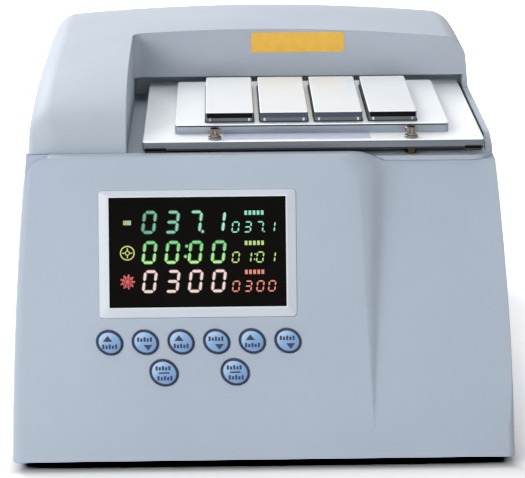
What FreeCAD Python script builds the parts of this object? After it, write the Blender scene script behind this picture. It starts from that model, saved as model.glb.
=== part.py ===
import FreeCAD, Part
import math
import os

# Hybridization station: a bench instrument that warms and orbits a stage for glass slides.
# Lengths are in millimetres. The work frame has its origin at the middle of the housing's
# front bottom edge, with X to the right, Y to the back and Z up. Heights named *_height are
# above that edge. export() moves everything so that the origin is on the bench, midway
# between the housing's front and back.

# Overall size
overall_width = 245.0
overall_depth = 290.0
foot_height = 5.0
stage_front_y = 54.5
stage_depth = 121.5

# Lower housing: sides drawn in towards the top, front leaning back
wall = 3.0
side_draft = 1.0
side_bulge = 6.5
side_reference = 140.0
panel_tilt = 18.5
panel_height = 140.2
panel_wall = 3.0
front_radius = 4.0
back_radius = 14.0
parting_height = panel_height - 5.2
panel_left_radius = 11.0
panel_right_radius = 16.0

# Scooped front on the right of the crease
crease_foot_x = overall_width / 2 - 68.5
crease_lean = 0.0585
scoop_start = 13.0
scoop_depth = 11.6
scoop_run = 40.0
scoop_run_foot = 1.5
scoop_run_power = 1.2
crease_rounding = 1.6
scoop_profile = ((0.05, 0.05), (0.22, 0.24), (0.36, 0.74), (0.55, 0.97), (0.8, 1.0), (1.0, 1.0))

# Upper hood: C-shaped case with the deck tray
hood_front_y = stage_front_y + 0.7
hood_top_height = panel_height + 36.8
hood_lip_height = panel_height + 1.8
hood_back_height = parting_height + 4.0
hood_crown = 6.0
hood_nose_length = 130.0
hood_nose_power = 4.15
hood_nose_root = 0.463
hood_fall_length = 105.0
hood_fall_power = 3.2
hood_count_outside = (6, 13, 6)
hood_count_inside = (3, 8, 3)
hood_corner_radius = 10.0
hood_nose_radius = 12.0
bay_left_x = 56.5 - overall_width / 2
bay_right_x = overall_width / 2 - 11.0
bay_back_y = stage_front_y + stage_depth - 11.0
bay_corner_radius = 5.0
bridge_height = panel_height + 10.8
slot_depth = 17.0
deck_height = panel_height - 2.7
curb_height = panel_height + 3.8
ledge_gap = 0.3

# Screws and bosses of the case
screw_radius = 1.5
screw_gap = 0.12
screw_head_radius = 2.9
screw_head_height = 1.9
boss_radius = 4.2
base_boss_x = overall_width / 2 - 7.5
base_boss_y = (40.0, overall_depth - 40.0)
base_boss_height = 22.0
hood_boss_x = overall_width / 2 - 15.0
hood_boss_y = (84.0, overall_depth - 28.0)
hood_boss_joint = panel_height - 22.2
hood_boss_top = panel_height + 14.8
hood_boss_length = 20.0
hood_screw_length = 30.0

# Base plate and feet
base_thickness = 1.5
base_gap = 0.4
foot_radius = 9.0
foot_taper = 1.5
foot_well = 2.6
foot_x = overall_width / 2 - 30.5
foot_y = (48.0, overall_depth - 42.0)
vent_count = 9
vent_pitch = 8.0
vent_width = 3.2
vent_length = 46.0
vent_x = -45.0
vent_y = 70.0

# Display, on the panel: u runs to the right, v up the slope, w out of the panel
display_u = (47.9 - overall_width / 2, 134.0 - overall_width / 2)
display_v = (panel_height - 65.4, panel_height - 11.8)
bezel_border = 5.2
bezel_top_border = 3.5
bezel_height = 1.3
bezel_rim = 0.9
neck_wall = 2.0
window_margin = 0.8
window_thickness = 2.0
display_block = 6.0
board_thickness = 1.6
board_margin = 9.2
pocket_u = (16.5 - overall_width / 2, crease_foot_x - 12.0)
pocket_v = (14.0, panel_height - 4.7)
pocket_depth = 16.0
board_screw_length = 6.0

# Keys
key_first_u = display_u[0] - 0.1
key_pitch = 17.32
key_upper_v = display_v[0] - 16.8
key_lower_v = key_upper_v - 14.9
key_lower_u = (key_first_u + 26.2, key_first_u + 60.8)
key_major = 6.5
key_minor = 5.7
key_lower_scale = 1.08
key_turn = 150.0
key_proud = 1.2
key_rounding = 0.6
key_gap = 0.3
key_flange = 1.2
key_flange_thickness = 0.8
key_travel = 0.8
key_stop_gap = 0.1
key_stem_radius = 2.0
key_stem_length = 0.4
switch_size = 6.0
plunger_radius = 1.6
plunger_height = 0.5

# Stage
stage_x = (bay_left_x + 8.0, bay_right_x - 2.0)
stage_thickness = 4.4
stage_top_height = panel_height + 5.6
stage_corner = 1.6
adapter_x = (stage_x[0] + 15.7, stage_x[1] - 16.1)
adapter_y = (stage_front_y + 13.5, stage_front_y + stage_depth - 20.1)
adapter_thickness = 4.7
adapter_corner = 2.0
edge_break = 0.35
cover_pitch = 27.03
cover_width = 23.8
cover_first_x = (adapter_x[0] + adapter_x[1] - 3 * cover_pitch - cover_width) / 2 - 0.2
cover_y = (adapter_y[0] + 4.0, adapter_y[1] - 11.4)
cover_thickness = 5.2
cover_recess = 0.6
cover_recess_border = 3.0
cover_pin_radius = 1.0
cover_pin_height = 2.0
cover_pin_gap = 0.05
cover_pin_inset = 1.6
clamp_x = (adapter_x[0] + 19.7, adapter_x[1] - 19.4)
clamp_y = (stage_front_y + 4.7, stage_front_y + stage_depth - 16.4)
clamp_shank_radius = 2.0
clamp_flange_radius = 3.3
clamp_neck_radius = 2.4
clamp_head_radius = 3.25
clamp_total_height = 8.2
clamp_flange_height = 1.2
clamp_neck_height = 3.0
clamp_socket_radius = 1.7
clamp_hole_gap = 0.15
nut_flats = 5.5
nut_height = 3.0
heater_thickness = 1.2
pad_thickness = 1.7
mat_inset = 7.5
probe_radius = 1.3
probe_depth = 18.0
probe_overhang = 4.0
probe_x = 40.0

# Orbital drive
orbit_radius = 1.0
chassis_top_height = panel_height - 53.2
chassis_thickness = 3.0
chassis_half_x = overall_width / 2 - 42.5
chassis_half_y = 52.0
chassis_corner = 8.0
chassis_post_radius = 5.0
chassis_post_inset = 8.0
motor_half = 21.0
motor_length = 38.0
motor_corner = 5.0
motor_pilot_radius = 11.0
motor_pilot_height = 2.0
motor_pilot_gap = 0.2
motor_hole_spacing = 31.0
motor_shaft_radius = 2.5
motor_shaft_gap = 0.08
motor_shaft_depth = 30.0
hub_radius = 9.0
hub_bottom_height = chassis_top_height + 2.5
hub_height = 9.0
crank_pin_radius = 4.0
crank_shoulder_radius = 5.6
pin_gap = 0.05
bearing_height = 6.0
shoulder_gap = 0.2
drive_bearing_radius = 11.0
counterweight_radius = 22.0
counterweight_height = 5.0
idler_pin_radius = 3.0
idler_shoulder_radius = 4.3
idler_disc_radius = 8.5
idler_disc_height = 5.0
idler_disc_gap = 0.3
idler_bearing_radius = 8.0
carrier_thickness = 4.0
carrier_top_height = panel_height - 30.2
carrier_half_x = chassis_half_x - 8.0
carrier_half_y = 50.0
carrier_corner = 10.0
carrier_window = (22.0, 40.0)
carrier_window_inset = 14.0
standoff_radius = 5.0
standoff_x = carrier_half_x - 8.0
standoff_y = 38.0
standoff_clearance = 1.2
idler_reach = standoff_x - 14.0
idler_spots = ((-idler_reach, 32.0), (idler_reach, 32.0), (0.0, -42.0))

# Back of the housing
rear_opening_half_x = overall_width / 2 - 30.5
rear_opening_z = (16.0, 80.0)
rear_opening_radius = 6.0
rear_panel_margin = 7.0
rear_panel_thickness = 2.0
rear_screw_inset = 3.5
inlet_x = 34.0 - rear_opening_half_x
inlet_z = 48.0
inlet_flange = (50.0, 44.0)
inlet_flange_thickness = 2.4
inlet_body = (28.0, 36.0)
inlet_depth = 24.0
inlet_cavity = (24.0, 16.4)
inlet_cavity_depth = 17.0
inlet_cavity_rise = 6.0
inlet_cavity_corner = 3.2
fuse_size = (22.0, 7.0)
fuse_depth = 15.0
fuse_drop = 12.0
fuse_gap = 0.3
fuse_travel = 12.0
blade_size = (2.0, 4.0)
blade_length = 13.0
blade_spread = 7.0
switch_z = 48.0
rocker_frame = (21.0, 17.0)
rocker_frame_body = (19.0, 15.0)
rocker_frame_thickness = 2.0
rocker_frame_depth = 16.0
rocker_opening = (15.6, 12.4)
rocker_height = 9.8
rocker_gap = 0.3
rocker_rest_turn = 9.0
rocker_pin_radius = 1.0
rocker_pin_gap = 0.06
rocker_axis_depth = 6.5
rocker_proud = 0.2
fan_x = rear_opening_half_x - 40.0
fan_z = 48.0
fan_half = 30.0
fan_depth = 15.0
fan_bore_radius = 28.0
fan_hub_radius = 12.5
fan_blade_tip = 27.0
fan_blade_count = 7
fan_blade_turn = 38.0
fan_blade_thickness = 1.4
fan_shaft_radius = 1.5
fan_shaft_gap = 0.06
fan_hole_spacing = 25.0
switch_x = (inlet_x + inlet_flange[0] / 2 + fan_x - fan_half) / 2
guard_wire = 0.9
guard_ring_radii = (6.0, 13.0, 20.0, 27.0)

# Boards and supply inside
supply_x = (10.5 - overall_width / 2, 64.5 - overall_width / 2)
supply_y = (overall_depth - 195.0, overall_depth - 75.0)
control_x = (-40.0, 60.0)
control_y = (overall_depth - 94.0, overall_depth - 28.0)
board_post_height = 7.0
board_post_radius = 3.0

tilt = math.radians(panel_tilt)
Vector = FreeCAD.Vector


# Basic solids

def block(x, y, z):
    """A box from three (low, high) pairs."""
    corner = Vector(x[0], y[0], z[0])
    return Part.makeBox(x[1] - x[0], y[1] - y[0], z[1] - z[0], corner)


def rod(x, y, z, radius):
    """An upright cylinder between two heights."""
    return Part.makeCylinder(radius, z[1] - z[0], Vector(x, y, z[0]))


def rod_along_y(x, z, y, radius):
    """A cylinder that runs from the front to the back."""
    return Part.makeCylinder(radius, y[1] - y[0], Vector(x, y[0], z), Vector(0, 1, 0))


def rounded_outline(x, y, height, radius):
    """A rectangle with round corners in a level plane, as a face."""
    return Part.Face(plan_outline(height, y[0], y[1], x[0], x[1], radius, radius))


def rounded_block(x, y, z, radius):
    """A box with round upright edges."""
    return rounded_outline(x, y, z[0], radius).extrude(Vector(0, 0, z[1] - z[0]))


def fused(shapes):
    """One solid from several that touch or overlap."""
    first = shapes[0]
    if len(shapes) == 1:
        return first
    return first.fuse(shapes[1:]).removeSplitter()


def group(shapes):
    """Several solids that stay separate in one node."""
    return Part.makeCompound(shapes)


def centred(middle, size):
    """The (low, high) pair of a length about its middle."""
    return (middle - size / 2, middle + size / 2)


def plan_outline(height, y_front, y_back, x_left, x_right, r_front, r_back):
    """A level rectangle with its own radius at the front and at the back corners."""
    def arc(centre_x, centre_y, radius, start):
        angles = [math.radians(start + step) for step in (0, 45, 90)]
        points = [Vector(centre_x + radius * math.cos(a), centre_y + radius * math.sin(a), height)
                  for a in angles]
        return Part.Arc(points[0], points[1], points[2]).toShape()

    def line(start, end):
        return Part.makeLine(Vector(start[0], start[1], height), Vector(end[0], end[1], height))

    return Part.Wire([
        line((x_left + r_front, y_front), (x_right - r_front, y_front)),
        arc(x_right - r_front, y_front + r_front, r_front, -90),
        line((x_right, y_front + r_front), (x_right, y_back - r_back)),
        arc(x_right - r_back, y_back - r_back, r_back, 0),
        line((x_right - r_back, y_back), (x_left + r_back, y_back)),
        arc(x_left + r_back, y_back - r_back, r_back, 90),
        line((x_left, y_back - r_back), (x_left, y_front + r_front)),
        arc(x_left + r_front, y_front + r_front, r_front, 180),
    ])


# The panel's own directions: u to the right, v up the slope, w out of the panel

def on_panel(shape):
    """Move a shape that was drawn in (u, v, w) to the sloping panel."""
    turn = FreeCAD.Rotation(Vector(1, 0, 0), panel_tilt * -1 + 90)
    placed = shape.copy()
    placed.Placement = FreeCAD.Placement(Vector(0, 0, 0), turn).multiply(placed.Placement)
    return placed


def panel_slope(height):
    """The distance up the slope to a height."""
    return height / math.cos(tilt)


# Lower housing

def half_width(height):
    """Half of the case's width at a height: straight draft and a gentle bulge."""
    share = height / side_reference
    return overall_width / 2 - side_draft * share - side_bulge * share ** 2


def panel_y(height):
    """Where the leaning front is at a height."""
    return height * math.tan(tilt)


def setback(height):
    """How far the scooped front lies behind the panel's plane."""
    return scoop_depth * (height - scoop_start) / (panel_height - scoop_start)


def crease_x(height):
    """The straight part of the crease between the panel and the scoop."""
    return crease_foot_x - crease_lean * height


def case_loft(heights, front_line, inset):
    """The case's body through level outlines, drawn in by inset at the sides and the back."""
    wires = []
    for height in heights:
        half = half_width(height) - inset
        back = overall_depth - inset
        r_back = back_radius - inset
        wires.append(plan_outline(height, front_line(height), back, -half, half, front_radius, r_back))
    return Part.makeLoft(wires, True, True)


def cavity_front(height):
    """The front of the hollow: one wall behind the scoop, which runs on behind the panel."""
    return panel_y(height) + max(setback(height), 0.0) + wall / math.cos(tilt)


def scoop_outline(height, start_x):
    """A level cut of the scoop: a rounded crease, a hollow curve, then the flat."""
    plane = panel_y(height)
    depth = setback(height)
    share = min(max(depth / scoop_depth, 0.0), 1.0)
    run = scoop_run_foot + (scoop_run - scoop_run_foot) * share ** scoop_run_power
    floor = plane + depth
    outside_x = overall_width / 2 + wall
    outside_y = plane - 2 * wall - scoop_depth
    poles = [Vector(start_x - crease_rounding, plane - 0.3, height),
             Vector(start_x - 0.1 * crease_rounding, plane - 0.05, height)]
    for along, down in scoop_profile:
        poles.append(Vector(start_x + along * run, plane + down * depth, height))
    curve = Part.BSplineCurve()
    curve.buildFromPoles(poles, False, 3)
    corners = [poles[-1], Vector(outside_x, floor, height), Vector(outside_x, outside_y, height),
               Vector(poles[0].x, outside_y, height), poles[0]]
    sides = [Part.makeLine(a, b) for a, b in zip(corners[:-1], corners[1:])]
    return Part.Wire([curve.toShape()] + sides)


def scoop_cutters():
    """The hollow on the right: up the straight crease, then round the panel's top right corner."""
    arc_v = panel_slope(panel_height) - panel_right_radius
    arc_height = arc_v * math.cos(tilt)
    arc_x = crease_x(arc_height) - panel_right_radius
    levels = [-4.0] + [scoop_start + (arc_height - scoop_start) * step / 6 for step in range(7)]
    straight = [scoop_outline(height, crease_x(height)) for height in levels]
    corner = []
    for angle in (0, 12, 24, 36, 48, 60, 73, 86):
        turn = math.radians(angle)
        height = (arc_v + panel_right_radius * math.sin(turn)) * math.cos(tilt)
        corner.append(scoop_outline(height, arc_x + panel_right_radius * math.cos(turn)))
    corner.append(scoop_outline(panel_height + 1.0, arc_x - 0.25 * panel_right_radius))
    return [Part.makeLoft(straight, True, True), Part.makeLoft(corner, True, True)]


def corner_cutter():
    """What is cut away to round the panel's top left corner."""
    top = panel_slope(panel_height)
    edge = -half_width(panel_height) - 1.0
    radius = panel_left_radius
    centre = Vector(edge + 1.0 + radius, top - radius, 0)
    middle = centre + Vector(-radius * math.cos(math.pi / 4), radius * math.sin(math.pi / 4), 0)
    start = Vector(centre.x - radius, centre.y, 0)
    end = Vector(centre.x, centre.y + radius, 0)
    arc = Part.Arc(start, middle, end).toShape()
    beyond = 3.0
    corners = [end, Vector(end.x, top + beyond, 0), Vector(edge - beyond, top + beyond, 0),
               Vector(edge - beyond, start.y, 0), start]
    lines = [Part.makeLine(a, b) for a, b in zip(corners[:-1], corners[1:])]
    depth = (hood_front_y - ledge_gap - panel_y(panel_height)) * math.cos(tilt)
    prism = Part.Face(Part.Wire([arc] + lines)).extrude(Vector(0, 0, depth + beyond))
    prism.translate(Vector(0, 0, -depth))
    return on_panel(prism)


def key_places():
    """Name, place on the panel and size factor of each key."""
    names = ("temp_up", "temp_down", "time_up", "time_down", "speed_up", "speed_down")
    places = [("key_" + name, key_first_u + index * key_pitch, key_upper_v, 1.0)
              for index, name in enumerate(names)]
    places.append(("key_program", key_lower_u[0], key_lower_v, key_lower_scale))
    places.append(("key_start", key_lower_u[1], key_lower_v, key_lower_scale))
    return places


def oval(u, v, major, minor, w):
    """A leaning oval column on the panel between two w levels."""
    ellipse = Part.Ellipse(Vector(0, 0, 0), major, minor).toShape()
    column = Part.Face(Part.Wire([ellipse])).extrude(Vector(0, 0, w[1] - w[0]))
    column.rotate(Vector(0, 0, 0), Vector(0, 0, 1), key_turn)
    column.translate(Vector(u, v, w[0]))
    return column


def board_screw_spots():
    """The screws of the two boards behind the panel."""
    inset = 2.6
    spots = []
    for board_u, board_v in (display_board_rect(), keypad_board_rect()):
        for u in (board_u[0] + inset, board_u[1] - inset):
            for v in (board_v[0] + inset, board_v[1] - inset):
                spots.append((u, v))
    return spots


def display_board_rect():
    """Outline of the display's board."""
    return ((display_u[0] - board_margin, display_u[1] + board_margin),
            (display_v[0] - 3.6, display_v[1] + 5.6))


def keypad_board_rect():
    """Outline of the keypad's board."""
    return ((display_u[0] - board_margin, display_u[1] + board_margin),
            (key_lower_v - 9.0, display_v[0] - 4.2))


board_face_w = -(panel_wall + display_block - (panel_wall - window_thickness))


def panel_bosses():
    """Posts behind the panel that the two boards sit on."""
    posts = []
    for u, v in board_screw_spots():
        post = rod(u, v, (board_face_w, -panel_wall + 0.5), 2.4)
        hole = rod(u, v, (board_face_w, -panel_wall - 0.6), 1.1)
        posts.append(post.cut(hole))
    return [on_panel(post) for post in posts]


def panel_pocket():
    """The hollow behind the control panel for the display and the keys."""
    space = block(pocket_u, pocket_v, (-panel_wall - pocket_depth, -panel_wall))
    return on_panel(space)


def panel_openings():
    """Through holes of the control panel: the display's neck and the keys."""
    neck = neck_rect(screw_gap)
    cuts = [block(neck[0], neck[1], (-panel_wall - 1.0, 1.0))]
    for name, u, v, scale in key_places():
        major = key_major * scale + key_gap
        minor = key_minor * scale + key_gap
        cuts.append(oval(u, v, major, minor, (-panel_wall - 1.0, 1.0)))
    return [on_panel(cut) for cut in cuts]


def base_boss_spots():
    """Where the base plate is screwed to the housing."""
    return [(side * base_boss_x, y) for side in (-1, 1) for y in base_boss_y]


def hood_boss_spots():
    """Where the hood is screwed to the housing."""
    return [(side * hood_boss_x, y) for side in (-1, 1) for y in hood_boss_y]


def lower_housing():
    """Moulded lower case: side and back walls, control panel, scoop, bosses."""
    levels = [(panel_height + 2.0) * step / 6 for step in range(7)]
    shell = case_loft(levels, panel_y, 0.0)
    above = block((-overall_width, overall_width), (-wall, overall_depth + wall),
                  (panel_height, panel_height + 20.0))
    ledge_back = hood_front_y - ledge_gap
    behind = block((-overall_width, overall_width), (ledge_back, overall_depth + wall),
                   (parting_height, panel_height + 20.0))
    inner_levels = [-2.0, scoop_start, 0.36 * panel_height, 0.64 * panel_height, panel_height + 2.0]
    cavity = case_loft(inner_levels, cavity_front, wall)
    for cutter in [above, behind] + scoop_cutters() + [corner_cutter(), cavity, panel_pocket()]:
        shell = shell.cut(cutter)

    bosses = []
    for x, y in base_boss_spots():
        bosses.append(rod(x, y, (base_thickness, base_boss_height), boss_radius))
    for x, y in hood_boss_spots():
        low = hood_boss_joint - hood_boss_length
        bosses.append(rod(x, y, (low, hood_boss_joint), boss_radius))
        rib_x = (x, math.copysign(half_width(low) - 0.5 * wall, x))
        bosses.append(block((min(rib_x), max(rib_x)), centred(y, 2.0), (low, hood_boss_joint)))
    shell = shell.fuse(bosses + panel_bosses())

    cuts = panel_openings()
    for x, y in base_boss_spots():
        cuts.append(rod(x, y, (0.0, base_boss_height - 3.0), screw_radius + screw_gap))
    for x, y in hood_boss_spots():
        cuts.append(rod(x, y, (0.0, hood_boss_joint + 1.0), screw_radius + screw_gap))
    cuts.append(rear_opening())
    for x, z in rear_screw_spots():
        cuts.append(rod_along_y(x, z, (overall_depth - wall - 1.0, overall_depth + 1.0),
                                screw_radius + screw_gap))
        cuts.append(rod_along_y(x, z, (overall_depth - screw_head_height, overall_depth + 1.0),
                                screw_head_radius + screw_gap))
    return shell.cut(cuts)


# Upper hood

def hood_top(y):
    """Height of the hood's top line: a quick rise at the front and a rounded fall at the back."""
    rise = min(max((y - hood_front_y) / hood_nose_length, 0.0), 1.0)
    fall = min(max((y - (overall_depth - hood_fall_length)) / hood_fall_length, 0.0), 1.0)
    front = (1 - (1 - rise) ** hood_nose_power) ** hood_nose_root
    back = (1 - fall ** hood_fall_power) ** 0.5
    return min(hood_lip_height + (hood_top_height - hood_lip_height) * front,
               hood_back_height + (hood_top_height - hood_back_height) * back)


def hood_stations(nose_steps, middle_steps, back_steps):
    """Distance from the front and plan inset of each arch: close together where the form turns."""
    stations = []
    for step in range(nose_steps + 1):
        turn = math.pi / 2 * step / nose_steps
        stations.append((hood_front_y + hood_nose_radius * (1 - math.cos(turn)),
                         hood_nose_radius * (1 - math.sin(turn))))
    start = hood_front_y + hood_nose_radius
    length = overall_depth - back_radius - start
    for step in range(1, middle_steps):
        share = step / middle_steps
        graded = share - 0.75 * math.sin(2 * math.pi * share) / (2 * math.pi)
        stations.append((start + length * graded, 0.0))
    for step in range(back_steps + 1):
        turn = math.pi / 2 * (1 - step / back_steps)
        stations.append((overall_depth - back_radius * (1 - math.cos(turn)),
                         back_radius * (1 - math.sin(turn))))
    return stations


def hood_arch(y, top, plan_inset, foot):
    """One arch of the hood: upright sides, rounded shoulders and a crowned top."""
    rise = top - parting_height
    crown = hood_crown * rise / (hood_top_height - parting_height)
    radius = min(hood_corner_radius, 0.55 * rise)

    def side_x(height):
        return half_width(height) - plan_inset

    corner_height = top - crown
    low_height = corner_height - radius
    low_x = side_x(low_height)
    foot_x_here = side_x(foot)
    shoulder_x = side_x(corner_height) - radius
    shoulder_height = top - crown * (shoulder_x / side_x(corner_height)) ** 2
    side_lean = (foot_x_here - low_x) / max(low_height - foot, 0.1)
    top_lean = 2 * crown * shoulder_x / side_x(corner_height) ** 2
    handle = 0.55 * radius

    def point(x, z):
        return Vector(x, y, z)

    def shoulder(side):
        curve = Part.BezierCurve()
        curve.setPoles([point(side * low_x, low_height),
                        point(side * (low_x - side_lean * handle), low_height + handle),
                        point(side * (shoulder_x + handle), shoulder_height - top_lean * handle),
                        point(side * shoulder_x, shoulder_height)])
        return curve

    left = shoulder(-1)
    left.reverse()
    crest = Part.Arc(point(shoulder_x, shoulder_height), point(0, top), point(-shoulder_x, shoulder_height))
    return Part.Wire([
        Part.makeLine(point(-foot_x_here, foot), point(foot_x_here, foot)),
        Part.makeLine(point(foot_x_here, foot), point(low_x, low_height)),
        shoulder(1).toShape(),
        crest.toShape(),
        left.toShape(),
        Part.makeLine(point(-low_x, low_height), point(-foot_x_here, foot)),
    ])


def hood_body(inset, steps):
    """The hood's full form, or with an inset the hollow inside it."""
    foot = parting_height
    if inset:
        foot = parting_height - 1.0
    middle = (hood_front_y + overall_depth) / 2
    length = overall_depth - hood_front_y
    squeeze = (length - 2 * inset) / length
    arches = []
    for y, plan_inset in hood_stations(steps[0], steps[1], steps[2]):
        placed = middle + (y - middle) * squeeze
        arches.append(hood_arch(placed, hood_top(y) - inset, plan_inset + inset, foot))
    return Part.makeLoft(arches, True, True)


def bay(growth):
    """The open space of the hood, over the stage; growth adds a wall round it."""
    far = overall_width
    left = bay_left_x - growth
    front = hood_front_y - 20.0 - growth
    back = bay_back_y + growth
    top = hood_top_height + 20.0
    low = deck_height - growth * (deck_height - parting_height) / wall
    radius = bay_corner_radius + growth
    main = block((left, far), (front, back - radius), (curb_height, top))
    main = main.fuse(block((left + radius, far), (front, back), (curb_height, top)))
    main = main.fuse(rod(left + radius, back - radius, (curb_height, top), radius))
    tray = block((left, bay_right_x + growth), (front, back), (low, curb_height + 1.0))
    slot = block((left, bay_right_x + growth), (front, back + slot_depth),
                 (low, bridge_height + growth))
    return main.fuse([tray, slot])


def curb_front_cutter():
    """Lets the low wall on the right of the tray rise gently behind the front rim."""
    profile = [(-20.0, 0.0), (9.0, 0.0), (20.0, curb_height - deck_height + 0.5), (-20.0, 40.0)]
    points = [Vector(bay_right_x - 2.0, hood_front_y + y, deck_height + z) for y, z in profile]
    face = Part.Face(Part.makePolygon(points + [points[0]]))
    return face.extrude(Vector(30.0, 0, 0))


def deck_hole_radius():
    """The stage's posts orbit inside these holes."""
    return standoff_radius + orbit_radius + standoff_clearance


def upper_hood():
    """Upper case: left arm, rear bridge, deck tray, curb and screw bosses."""
    outer = hood_body(0.0, hood_count_outside)
    inner = hood_body(wall, hood_count_inside)
    open_space = bay(0.0)
    solid_part = outer.cut([open_space, curb_front_cutter()])
    hollow = inner.cut(bay(wall))
    hood = solid_part.cut(hollow)
    bosses = []
    for x, y in hood_boss_spots():
        boss = rod(x, y, (hood_boss_joint, hood_boss_top), boss_radius)
        bosses.append(boss.cut(open_space))
    hood = hood.fuse(bosses)
    cuts = []
    for x, y in hood_boss_spots():
        cuts.append(rod(x, y, (0.0, hood_boss_joint + hood_boss_length - 4.0), screw_radius + screw_gap))
    for x, y in standoff_spots():
        cuts.append(rod(x, y, (parting_height - 5.0, deck_height + 2.0), deck_hole_radius()))
    return hood.cut(cuts)


# Base plate, feet and case screws

def foot_spots():
    """Places of the four feet."""
    return [(side * foot_x, y) for side in (-1, 1) for y in foot_y]


def base_plate():
    """Steel floor plate with air slots, inside the housing's lower edge."""
    half = half_width(0.0) - wall - base_gap
    y = (cavity_front(base_thickness) + base_gap, overall_depth - wall - base_gap)
    radius = back_radius - wall
    plate = Part.Face(plan_outline(0.0, y[0], y[1], -half, half, front_radius, radius))
    plate = plate.extrude(Vector(0, 0, base_thickness))
    cuts = []
    for index in range(vent_count):
        x = vent_x + index * vent_pitch
        slot = rounded_block((x - vent_width / 2, x + vent_width / 2), (vent_y, vent_y + vent_length),
                             (-1.0, base_thickness + 1.0), 0.49 * vent_width)
        cuts.append(slot)
    for x, y in base_boss_spots() + foot_spots() + chassis_post_spots() + board_post_spots():
        cuts.append(rod(x, y, (-1.0, base_thickness + 1.0), screw_radius + screw_gap))
    return plate.cut(cuts)


def feet():
    """Four rubber feet with a well for their screw."""
    solids = []
    for x, y in foot_spots():
        cone = Part.makeCone(foot_radius - foot_taper, foot_radius, foot_height,
                             Vector(x, y, -foot_height))
        well = rod(x, y, (-foot_height - 1.0, -foot_height + foot_well), screw_head_radius + 0.5)
        hole = rod(x, y, (-foot_height - 1.0, 1.0), screw_radius + screw_gap)
        solids.append(cone.cut([well, hole]))
    return group(solids)


def screw_up(x, y, seat, length):
    """A pan-head screw that points up, with its head under the seat."""
    head = Part.makeCone(screw_head_radius * 0.75, screw_head_radius, screw_head_height,
                         Vector(x, y, seat - screw_head_height))
    slot = block(centred(x, 2 * screw_head_radius), centred(y, 0.7),
                 (seat - screw_head_height - 1.0, seat - screw_head_height + 0.8))
    return head.fuse(rod(x, y, (seat, seat + length), screw_radius)).removeSplitter().cut(slot)


def case_screws():
    """Screws of the base plate, the feet, the posts and the board posts, all from below."""
    solids = []
    for x, y in base_boss_spots():
        solids.append(screw_up(x, y, 0.0, 12.0))
    for x, y in foot_spots():
        solids.append(screw_up(x, y, -foot_height + foot_well, 5.2))
    for x, y in chassis_post_spots():
        solids.append(screw_up(x, y, 0.0, 8.0))
    for x, y in board_post_spots():
        solids.append(screw_up(x, y, 0.0, 5.0))
    return group(solids)


def hood_screws():
    """Four long screws that pull the hood down onto the housing."""
    seat = hood_boss_joint - hood_boss_length
    return group([screw_up(x, y, seat, hood_screw_length) for x, y in hood_boss_spots()])


# Display and keypad

def neck_rect(growth):
    """Outline of the bezel's neck in the panel, as (u, v) pairs."""
    u = (display_u[0] - neck_wall - growth, display_u[1] + neck_wall + growth)
    v = (display_v[0] - neck_wall - growth, display_v[1] + neck_wall + growth)
    return u, v


def window_rect():
    """Outline of the dark window plate."""
    u = (display_u[0] - window_margin, display_u[1] + window_margin)
    v = (display_v[0] - window_margin, display_v[1] + window_margin)
    return u, v


def display_bezel():
    """Pale frame round the display: sloping sides, a neck in the panel and a window rebate."""
    outer_u = (display_u[0] - bezel_border, display_u[1] + bezel_border)
    outer_v = (display_v[0] - bezel_border, display_v[1] + bezel_top_border)
    crest_u = (display_u[0] - bezel_rim, display_u[1] + bezel_rim)
    crest_v = (display_v[0] - bezel_rim, display_v[1] + bezel_rim)
    low = plan_outline(0.0, outer_v[0], outer_v[1], outer_u[0], outer_u[1], 2.0, 2.0)
    high = plan_outline(bezel_height, crest_v[0], crest_v[1], crest_u[0], crest_u[1], 1.0, 1.0)
    frame = Part.makeLoft([low, high], True, True)
    neck = neck_rect(0.0)
    frame = frame.fuse(block(neck[0], neck[1], (-panel_wall, 0.0)))
    rebate = window_rect()
    frame = frame.cut(block(rebate[0], rebate[1], (-panel_wall - 1.0, 0.0)))
    frame = frame.cut(block(display_u, display_v, (-1.0, bezel_height + 1.0)))
    return on_panel(frame.removeSplitter())


def display_window():
    """Smoked window plate behind the bezel's lip."""
    rect = window_rect()
    return on_panel(block(rect[0], rect[1], (-window_thickness, 0.0)))


def display_module():
    """Display block with its board behind the window."""
    rect = window_rect()
    face = -window_thickness
    digits = block(rect[0], rect[1], (board_face_w, face))
    board_u, board_v = display_board_rect()
    board = block(board_u, board_v, (board_face_w - board_thickness, board_face_w))
    driver = block(centred(display_u[0] + 14.6, 14.0), centred(display_v[0] + 25.2, 14.0),
                   (board_face_w - board_thickness - 2.2, board_face_w - board_thickness))
    plug = block(centred(display_u[1] - 16.5, 22.0), centred(display_v[0] + 9.2, 6.0),
                 (board_face_w - board_thickness - 5.0, board_face_w - board_thickness))
    module = fused([digits, board, driver, plug])
    return on_panel(module.cut(board_screw_holes(display_board_rect())))


def board_screw_holes(rect):
    """Clearance holes for the screws inside one board's outline."""
    holes = []
    for u, v in board_screw_spots():
        if rect[0][0] < u < rect[0][1] and rect[1][0] < v < rect[1][1]:
            holes.append(rod(u, v, (board_face_w - board_thickness - 1.0, board_face_w + 1.0), 1.15))
    return holes


def keypad_board():
    """Board behind the keys, with its connector."""
    board_u, board_v = keypad_board_rect()
    board = block(board_u, board_v, (board_face_w - board_thickness, board_face_w))
    plug = block(centred(display_u[0] + 44.6, 18.0), centred(key_lower_v - 6.6, 4.0),
                 (board_face_w - board_thickness - 4.0, board_face_w - board_thickness))
    return on_panel(fused([board, plug]).cut(board_screw_holes(keypad_board_rect())))


def switch_top_w():
    """The plunger's top stays just beyond the key's stroke."""
    return -(panel_wall + key_flange_thickness + key_stem_length + key_travel + key_stop_gap)


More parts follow.
